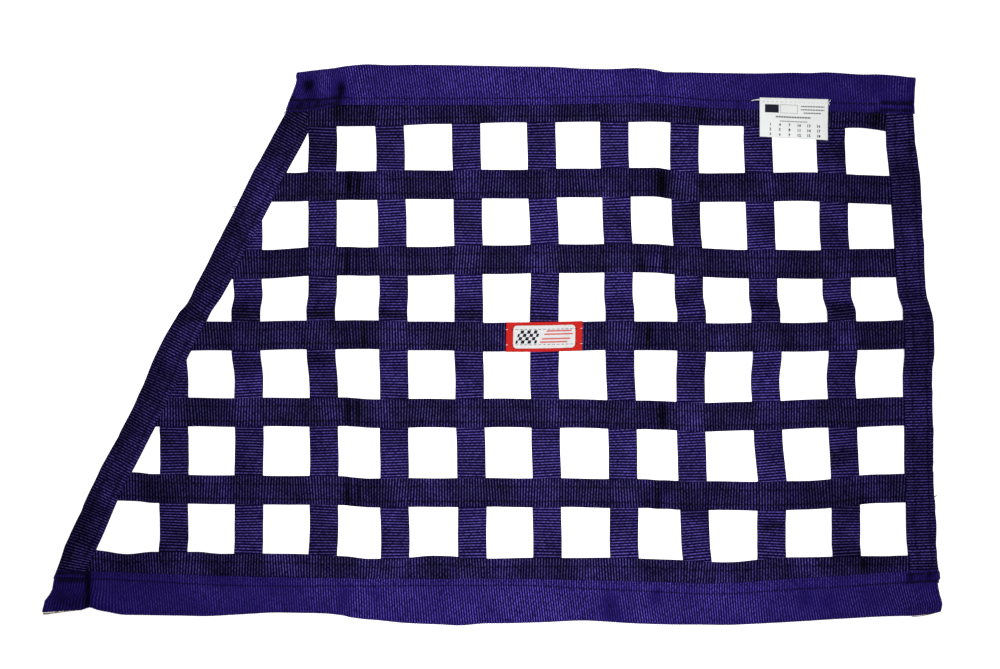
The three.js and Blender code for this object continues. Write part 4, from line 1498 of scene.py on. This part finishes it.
def add_lamp(name, kind, place, settings):
    light = bpy.data.lights.new(name, kind)
    for key, value in settings.items():
        setattr(light, key, value)
    lamp = bpy.data.objects.new(name, light)
    lamp.location = place
    bpy.context.scene.collection.objects.link(lamp)
    return lamp


class NET_OT_stage(NetOperator, bpy.types.Operator):
    """Set the camera over the net, the soft lights and the pale table"""

    bl_idname = "net.stage"
    bl_label = "Stage"

    def execute(self, context):
        make_finishes()
        scene = context.scene
        lens = bpy.data.cameras.new("net_camera")
        lens.sensor_width = CAMERA["film"]
        lens.lens = CAMERA["lens"]
        lens.clip_start = CAMERA["near"]
        camera = bpy.data.objects.new("net_camera", lens)
        camera.location = (CAMERA["x"], CAMERA["y"], scene.net_sizes.camera_height)
        scene.collection.objects.link(camera)
        scene.camera = camera
        table = bpy.data.meshes.new("table_surface")
        signs = ((-1, -1), (1, -1), (1, 1), (-1, 1))
        corners = [(x * TABLE["reach"], y * TABLE["reach"], -TABLE["drop"]) for x, y in signs]
        table.from_pydata(corners, [], [(0, 1, 2, 3)])
        floor = new_piece("table_surface", table, bpy.data.materials["table_finish"])
        key = add_lamp("key_light", "AREA", KEY_PLACE, KEY_LIGHT)
        aim = Vector(KEY_TARGET) - Vector(KEY_PLACE)
        key.rotation_euler = aim.to_track_quat("-Z", "Y").to_euler()
        add_lamp("middle_light", "SPOT", MIDDLE_PLACE, MIDDLE_LIGHT)
        world = bpy.data.worlds.new("studio")
        world.use_nodes = True
        backdrop = world.node_tree.nodes["Background"]
        backdrop.inputs["Color"].default_value = (1, 1, 1, 1)
        backdrop.inputs["Strength"].default_value = BACKDROP_STRENGTH
        scene.world = world
        scene.view_settings.view_transform = "Standard"
        return {"FINISHED"}


def lay_ribbon(net, node, grid, columns, finish):
    """A ribbon's piece, from the grid of its middle, its weave and its tone"""
    middle, weave, tone = grid
    face = ribbon_face(net, weave[..., 0], columns)
    mesh = cloth_mesh(f"{node}_webbing", middle, weave, tone, face)
    piece = new_piece(mesh.name, mesh, bpy.data.materials[finish])
    finish_piece(piece, "ribbon_webbing", node)


class NET_OT_uprights(NetOperator, bpy.types.Operator):
    """Lay the ten uprights"""

    bl_idname = "net.uprights"
    bl_label = "Uprights"

    def execute(self, context):
        net = self.net()
        backs = [row.node("back") + "_webbing" for row in net.rows]
        for upright in net.uprights:
            bends = net.upright_bends(upright)
            grid = vertical_grid(net, upright, bends, PLAIN_COLUMNS, False)
            lay_ribbon(net, upright.name, grid, PLAIN_COLUMNS, "upright_finish")
        return {"FINISHED"}


def lay_rows(net, rows):
    """Lay the back and the front ribbon of each row"""
    for row in rows:
        for side, columns, per_rib in SIDES:
            grid = row_grid(net, row, side, columns, per_rib)
            below = [row.node("back") + "_webbing"] if side == "front" else []
            lay_ribbon(net, row.node(side), grid, columns, "ribbon_finish")


class NET_OT_crossbars(NetOperator, bpy.types.Operator):
    """Lay the five rows, each a back and a front ribbon"""

    bl_idname = "net.crossbars"
    bl_label = "Crossbars"

    def execute(self, context):
        net = self.net()
        lay_rows(net, [row for row in net.rows if row.number])
        return {"FINISHED"}


class NET_OT_borders(NetOperator, bpy.types.Operator):
    """Lay the top and bottom borders, each a back and a front ribbon"""

    bl_idname = "net.borders"
    bl_label = "Borders"

    def execute(self, context):
        net = self.net()
        lay_rows(net, [row for row in net.rows if not row.number])
        return {"FINISHED"}


class NET_OT_edges(NetOperator, bpy.types.Operator):
    """Lay the slanted edge and the right edge, each a back and a front ribbon"""

    bl_idname = "net.edges"
    bl_label = "Edges"

    def execute(self, context):
        net = self.net()
        for plan in (net.slant, net.right):
            for side, columns, _ in SIDES:
                grid = vertical_grid(net, plan, net.edge_bends(plan, side), columns, True)
                lay_ribbon(net, f"{plan.name}_{side}", grid, columns, "ribbon_finish")
        return {"FINISHED"}


class NET_OT_sleeves(NetOperator, bpy.types.Operator):
    """Fold the two rod sleeves over the borders"""

    bl_idname = "net.sleeves"
    bl_label = "Rod sleeves"

    def execute(self, context):
        net = self.net()
        for entry in SLEEVES:
            sleeve = Sleeve(net, entry)
            middle, weave, tone, face = sleeve_grid(net, sleeve)
            if sleeve.outward > 0:
                middle, weave, tone, face = (a[:, ::-1] for a in (middle, weave, tone, face))
            mesh = cloth_mesh(f"{sleeve.name}_webbing", middle, weave, tone, face)
            piece = new_piece(mesh.name, mesh, bpy.data.materials["sleeve_finish"])
            nodes = [f"{sleeve.name}_{part}" for part in ("back", "fold", "front")]
            finish_piece(piece, "sleeve_webbing", *nodes)
        return {"FINISHED"}


def line_ends(low, high, step=2.0):
    """Even places from low to high, about a step apart"""
    return np.linspace(low, high, max(int((high - low) / step), 2))


class NET_OT_seams(NetOperator, bpy.types.Operator):
    """Sew the rows, the edges and the sleeves"""

    bl_idname = "net.seams"
    bl_label = "Seams"

    def execute(self, context):
        net = self.net()
        front, back, sleeves = Seams(), Seams(), Seams()
        for row in net.rows:
            x = line_ends(row.zone_left - 20, row.zone_right + 20)
            for across in SEAMS:
                hidden = across * (1 if row.index == 0 else -1) > 0 and not row.number
                y = row.y(x) + across
                swell = lie(x, y)
                if not hidden:
                    front.add(x, y, row.front(x) + net.thickness + SEAM_LIFT + swell)
                back.add(x, y, row.back(x) - SEAM_LIFT + swell)
        for plan in (net.slant, net.right):
            bends = {side: net.edge_bends(plan, side) for side in ("front", "back")}
            for across in EDGE_SEAMS:
                y = line_ends(bends["front"][0][0] + 2, bends["front"][-1][0] - 2)
                x = plan.middle(y) + across * np.hypot(1, plan.slope(y))
                swell = lie(x, y)
                top = height_of(bends["front"])(x, y)
                front.add(x, y, top + net.thickness + SEAM_LIFT + swell)
                back.add(x, y, height_of(bends["back"])(x, y) - SEAM_LIFT + swell)
        for entry in SLEEVES:
            sleeve = Sleeve(net, entry)
            x = line_ends(sleeve.left[0] + 3, sleeve.right[0] - 3)
            for distance in (1.8 + 0 * x, sleeve.row_two(x)):
                sleeve.add_seam(sleeves, x, distance, SEAM_LIFT)
        groups = (
            ("front_seams", front, "ribbon_webbing"), ("back_seams", back, "ribbon_webbing"),
            ("sleeve_seams", sleeves, "sleeve_webbing"))
        for name, seams, slot in groups:
            finish_piece(sew(name, seams, seam_values()), slot)
        return {"FINISHED"}


class NET_OT_bar_tacks(NetOperator, bpy.types.Operator):
    """Sew the heavy bar tacks at the four corners"""

    bl_idname = "net.bar_tacks"
    bl_label = "Bar tacks"

    def execute(self, context):
        net = self.net()
        seams = Seams()
        for number, low, high, rows in TACKS:
            sleeve = Sleeve(net, SLEEVES[number])
            x = line_ends(low, high, 1.0)
            for ends in rows:
                sleeve.add_seam(seams, x, np.interp(x, (low, high), ends), TACK_LIFT)
        values = seam_values(Pitch=context.scene.net_sizes.tack_pitch, **TACK_THREAD)
        finish_piece(sew("corner_bar_tacks", seams, values), "sleeve_webbing")
        return {"FINISHED"}


# How far the label's faces lie from its middle, and the label's and the patch's grids
LABEL_FACE = 0.22
LABEL_GRID, PATCH_GRID = (62, 40), (90, 36)

# The label's figures: where the first one stands, from column to column and from line to line,
# their size and how far they stand off the label
FIGURES = {"right": 9.4, "pitch": 8.5, "down": 25.3, "line": 4.4, "size": 3.5, "lift": 0.36}
FIGURE_COUNT, FIGURE_LINES = 18, 3

# The threads' widths on the label and the patch, and the patch's stitch length, in metres
LABEL_THREAD = PATCH_THREAD = 0.0006
PATCH_PALE_THREAD, PATCH_STITCH = 0.0005, 0.0037


def cloth_grid(width, height, counts):
    """Places right and up or down over a flat cloth"""
    return np.meshgrid(
        np.linspace(0, width, counts[0]), np.linspace(0, height, counts[1]), indexing="ij")


def label_surface(right, down):
    """X, Y and Z of the label's middle at a place on it, in millimetres from its top left"""
    share = right / (LABEL["right"] - LABEL["left"])
    length = LABEL["left_length"] + LABEL["slack"] * share
    x = LABEL["left"] + right + 0.8 * down / length * (1 - share)
    y = LABEL["top"] - LABEL["fall"] * share - down / LABEL_LENGTH * length
    curl = 1.3 * smooth((down - 20) / 16) * share ** 2
    ripple = 0.35 * np.sin(right / 7.5 + 0.6) * smooth((down - 3) / 14)
    hang = np.maximum(curve_of(LABEL_HANG)(down), 9.6 - 0.12 * down)
    return x, y, hang + 0.45 + curl + ripple + lie(x, y)


class NET_OT_label(NetOperator, bpy.types.Operator):
    """Sew the white label on by its top edge"""

    bl_idname = "net.label"
    bl_label = "Label"

    def execute(self, context):
        make_finishes()
        width, height = LABEL["right"] - LABEL["left"], LABEL_LENGTH
        right, down = cloth_grid(width, height, LABEL_GRID)
        middle = np.stack(label_surface(right, down), axis=-1)[:, ::-1]
        weave = np.stack([right, down], axis=-1)[:, ::-1]
        face = np.full(right.shape, LABEL_FACE)
        mesh = cloth_mesh("certification_label_cloth", middle, weave, 0 * right + 1, face)
        piece = new_piece(mesh.name, mesh, bpy.data.materials["label_finish"])
        finish_piece(piece, "label_cloth", "certification_label")
        figures = self.figures()
        seams = Seams()
        along = line_ends(LABEL_SEAM["inset"], width - LABEL_SEAM["inset"])
        x, y, z = label_surface(along, LABEL_SEAM["down"] + 0 * along)
        seams.add(x, y, z + LABEL_SEAM["lift"])
        values = seam_values("pale_thread", Width=LABEL_THREAD)
        stitches = finish_piece(sew("label_seam", seams, values), "label_cloth")
        return {"FINISHED"}

    def figures(self):
        """The figures 1 to 18 in six columns"""
        vertices, faces = [], []
        for number in range(FIGURE_COUNT):
            column, line = divmod(number, FIGURE_LINES)
            curve = bpy.data.curves.new("figure", "FONT")
            curve.body = str(number + 1)
            curve.size = FIGURES["size"]
            curve.offset = 0.12
            curve.align_x = "CENTER"
            curve.extrude = 0.03
            curve.resolution_u = 1
            text = bpy.data.objects.new("figure", curve)
            bpy.context.scene.collection.objects.link(text)
            evaluated = text.evaluated_get(bpy.context.evaluated_depsgraph_get())
            flat = bpy.data.meshes.new_from_object(evaluated)
            base = len(vertices)
            for vertex in flat.vertices:
                right = FIGURES["right"] + FIGURES["pitch"] * column + vertex.co.x
                down = FIGURES["down"] + FIGURES["line"] * line - vertex.co.y
                x, y, z = label_surface(np.array(right), np.array(down))
                vertices.append((float(x), float(y), float(z) + FIGURES["lift"] + vertex.co.z))
            faces += [tuple(base + i for i in polygon.vertices) for polygon in flat.polygons]
            bpy.data.objects.remove(text)
        mesh = bpy.data.meshes.new("label_figures")
        mesh.from_pydata(in_frame(vertices).tolist(), [], faces)
        mesh.update()
        piece = new_piece("label_figures", mesh, bpy.data.materials["dark_thread"])
        return finish_piece(piece, "label_cloth")


def patch_y(right, up):
    """Y of a place on the patch, in millimetres right and up from its lower left"""
    share = right / (PATCH["right"] - PATCH["left"])
    bow = PATCH["bow"] * np.sin(share * math.pi) - PATCH["tilt"] * (share - 0.5)
    return PATCH["middle"] - PATCH["height"] / 2 + up - bow


class NET_OT_patch(NetOperator, bpy.types.Operator):
    """Sew the red patch on the middle row"""

    bl_idname = "net.patch"
    bl_label = "Patch"

    def execute(self, context):
        net = self.net()
        row = next(row for row in net.rows if row.folded)
        width, height = PATCH["right"] - PATCH["left"], PATCH["height"]
        right, up = cloth_grid(width, height, PATCH_GRID)
        x = PATCH["left"] + right + 0.5 * (up / height - 0.5)
        y = patch_y(right, up)
        rim = np.minimum(np.minimum(right, width - right), np.minimum(up, height - up))
        pulled = sum(np.exp(-(((up - place) / 0.9) ** 2)) for place in PATCH_SEAMS)
        z = row.front(x) + net.layer + 0.35 + lie(x, y) - 0.18 * pulled
        face = 0.3 + 0.16 * (1 - smooth(rim / 2.4))
        middle, weave = np.stack([x, y, z], axis=-1), np.stack([right, up], axis=-1)
        mesh = cloth_mesh("badge_patch_cloth", middle, weave, 0 * right + 1, face)
        piece = new_piece(mesh.name, mesh, bpy.data.materials["patch_finish"])
        finish_piece(piece, "patch_cloth", "badge_patch")
        dark, pale = Seams(), Seams()
        start, change = PATCH_SEAM_START, PATCH_SEAM_CHANGE
        parts = (
            (dark, change, width - change), (pale, start, change),
            (pale, width - change, width - start))
        for place in PATCH_SEAMS:
            for seams, low, high in parts:
                along = line_ends(low, high)
                x, y = PATCH["left"] + along, patch_y(along, place)
                seams.add(x, y, row.front(x) + net.layer + 0.66 + lie(x, y))
        values = seam_values(Length=PATCH_STITCH, Width=PATCH_THREAD)
        pale_values = seam_values("pale_thread", Width=PATCH_PALE_THREAD)
        stitches = [
            finish_piece(sew("patch_seam", dark, values), "patch_cloth"),
            finish_piece(sew("patch_end_seam", pale, pale_values), "patch_cloth"),
        ]
        return {"FINISHED"}


# Loose thread ends: where one leaves the cloth, its direction in degrees, length and bend
PALE_ENDS = (
    (236.0, 215.6, 11.4, 184, 8.0, 0.6), (235.6, 215.0, 11.4, 170, 4.0, 0.8),
    (295.5, 212.8, 11.2, 20, 3.0, 1.4), (295.2, 212.6, 11.2, -30, 2.4, -0.8),
)
DARK_ENDS = (
    (-225.5, 121.5, 3.0, 150, 4.5, 1.6), (-225.0, 120.5, 3.0, 190, 3.5, -1.2),
    (390.3, -135.0, 3.6, 10, 3.5, 1.2), (390.3, -136.5, 3.4, -35, 3.0, -1.0),
    (-181.0, 206.0, 6.6, 200, 3.0, 1.0),
)

# Tan lining yarns that show along the fold of the bottom sleeve: their ends along X, how far
# they stand out and their height
TAN_YARNS = (
    (-383.0, -359.0, 0.9, 5.2), (-383.2, -364.0, 1.4, 4.6), (-383.3, -371.0, 1.9, 4.0),
    (366.0, 389.0, 0.8, 5.2),
)


# Half the thickness of a loose thread end or yarn
THREAD_RADIUS = 0.35


def thread_line(x, y, z, degrees, length, bend):
    """Points along a loose thread end"""
    t = np.linspace(0, 1, 9)
    turn = math.radians(degrees)
    sideways = bend * t * t
    return np.stack([
        x + length * t * math.cos(turn) - sideways * math.sin(turn),
        y + length * t * math.sin(turn) + sideways * math.cos(turn),
        z + 0.5 * np.sin(t * math.pi) - 0.6 * t,
    ], axis=-1)


class NET_OT_thread_ends(NetOperator, bpy.types.Operator):
    """Leave the few cut thread ends that stand out of the seams"""

    bl_idname = "net.thread_ends"
    bl_label = "Thread ends"

    def execute(self, context):
        sleeve = Sleeve(self.net(), SLEEVES[1])
        yarns = []
        for start, end, out, height in TAN_YARNS:
            x = line_ends(start, end, 1.5)
            depth = sleeve.depth(x)
            px, py = sleeve.place(x, depth, depth)
            py = py - out * (1 - (np.linspace(0, 1, len(x))) ** 3)
            yarns.append(np.stack([px, py, height + 0.7 * lie(px, py)], axis=-1))
        pale, dark = ([thread_line(*end) for end in ends] for ends in (PALE_ENDS, DARK_ENDS))
        groups = (
            ("pale_thread_ends", pale, "pale_thread", "label_cloth"),
            ("dark_thread_ends", dark, "dark_thread", "ribbon_webbing"),
            ("tan_lining_yarns", yarns, "tan_thread", "sleeve_webbing"))
        for name, lines, thread, slot in groups:
            mesh = tube_mesh(name, lines, THREAD_RADIUS)
            finish_piece(new_piece(name, mesh, bpy.data.materials[thread]), slot)
        return {"FINISHED"}


class NET_PT_panel(bpy.types.Panel):
    """The net's operators, sizes and colours"""

    bl_idname = "NET_PT_panel"
    bl_label = "Window Net"
    bl_space_type = "VIEW_3D"
    bl_region_type = "UI"
    bl_category = "Window Net"

    def draw(self, context):
        for operator in OPERATORS:
            self.layout.operator(operator.bl_idname)
        for group in (context.scene.net_sizes, context.scene.net_colours):
            box = self.layout.box()
            for name in group.__annotations__:
                box.prop(group, name)


OPERATORS = (
    NET_OT_stage,
    NET_OT_crossbars,
    NET_OT_borders,
    NET_OT_uprights,
    NET_OT_edges,
    NET_OT_sleeves,
    NET_OT_seams,
    NET_OT_bar_tacks,
    NET_OT_label,
    NET_OT_patch,
    NET_OT_thread_ends,
)
CLASSES = (NetSizes, NetColours, *OPERATORS, NET_PT_panel)


def register():
    for one in CLASSES:
        bpy.utils.register_class(one)
    bpy.types.Scene.net_sizes = bpy.props.PointerProperty(type=NetSizes)
    bpy.types.Scene.net_colours = bpy.props.PointerProperty(type=NetColours)


def unregister():
    del bpy.types.Scene.net_colours
    del bpy.types.Scene.net_sizes
    for one in reversed(CLASSES):
        bpy.utils.unregister_class(one)


def main():
    register()
    for operator in OPERATORS:
        group, name = operator.bl_idname.split(".")
        getattr(getattr(bpy.ops, group), name)()


if __name__ == "__main__":
    main()
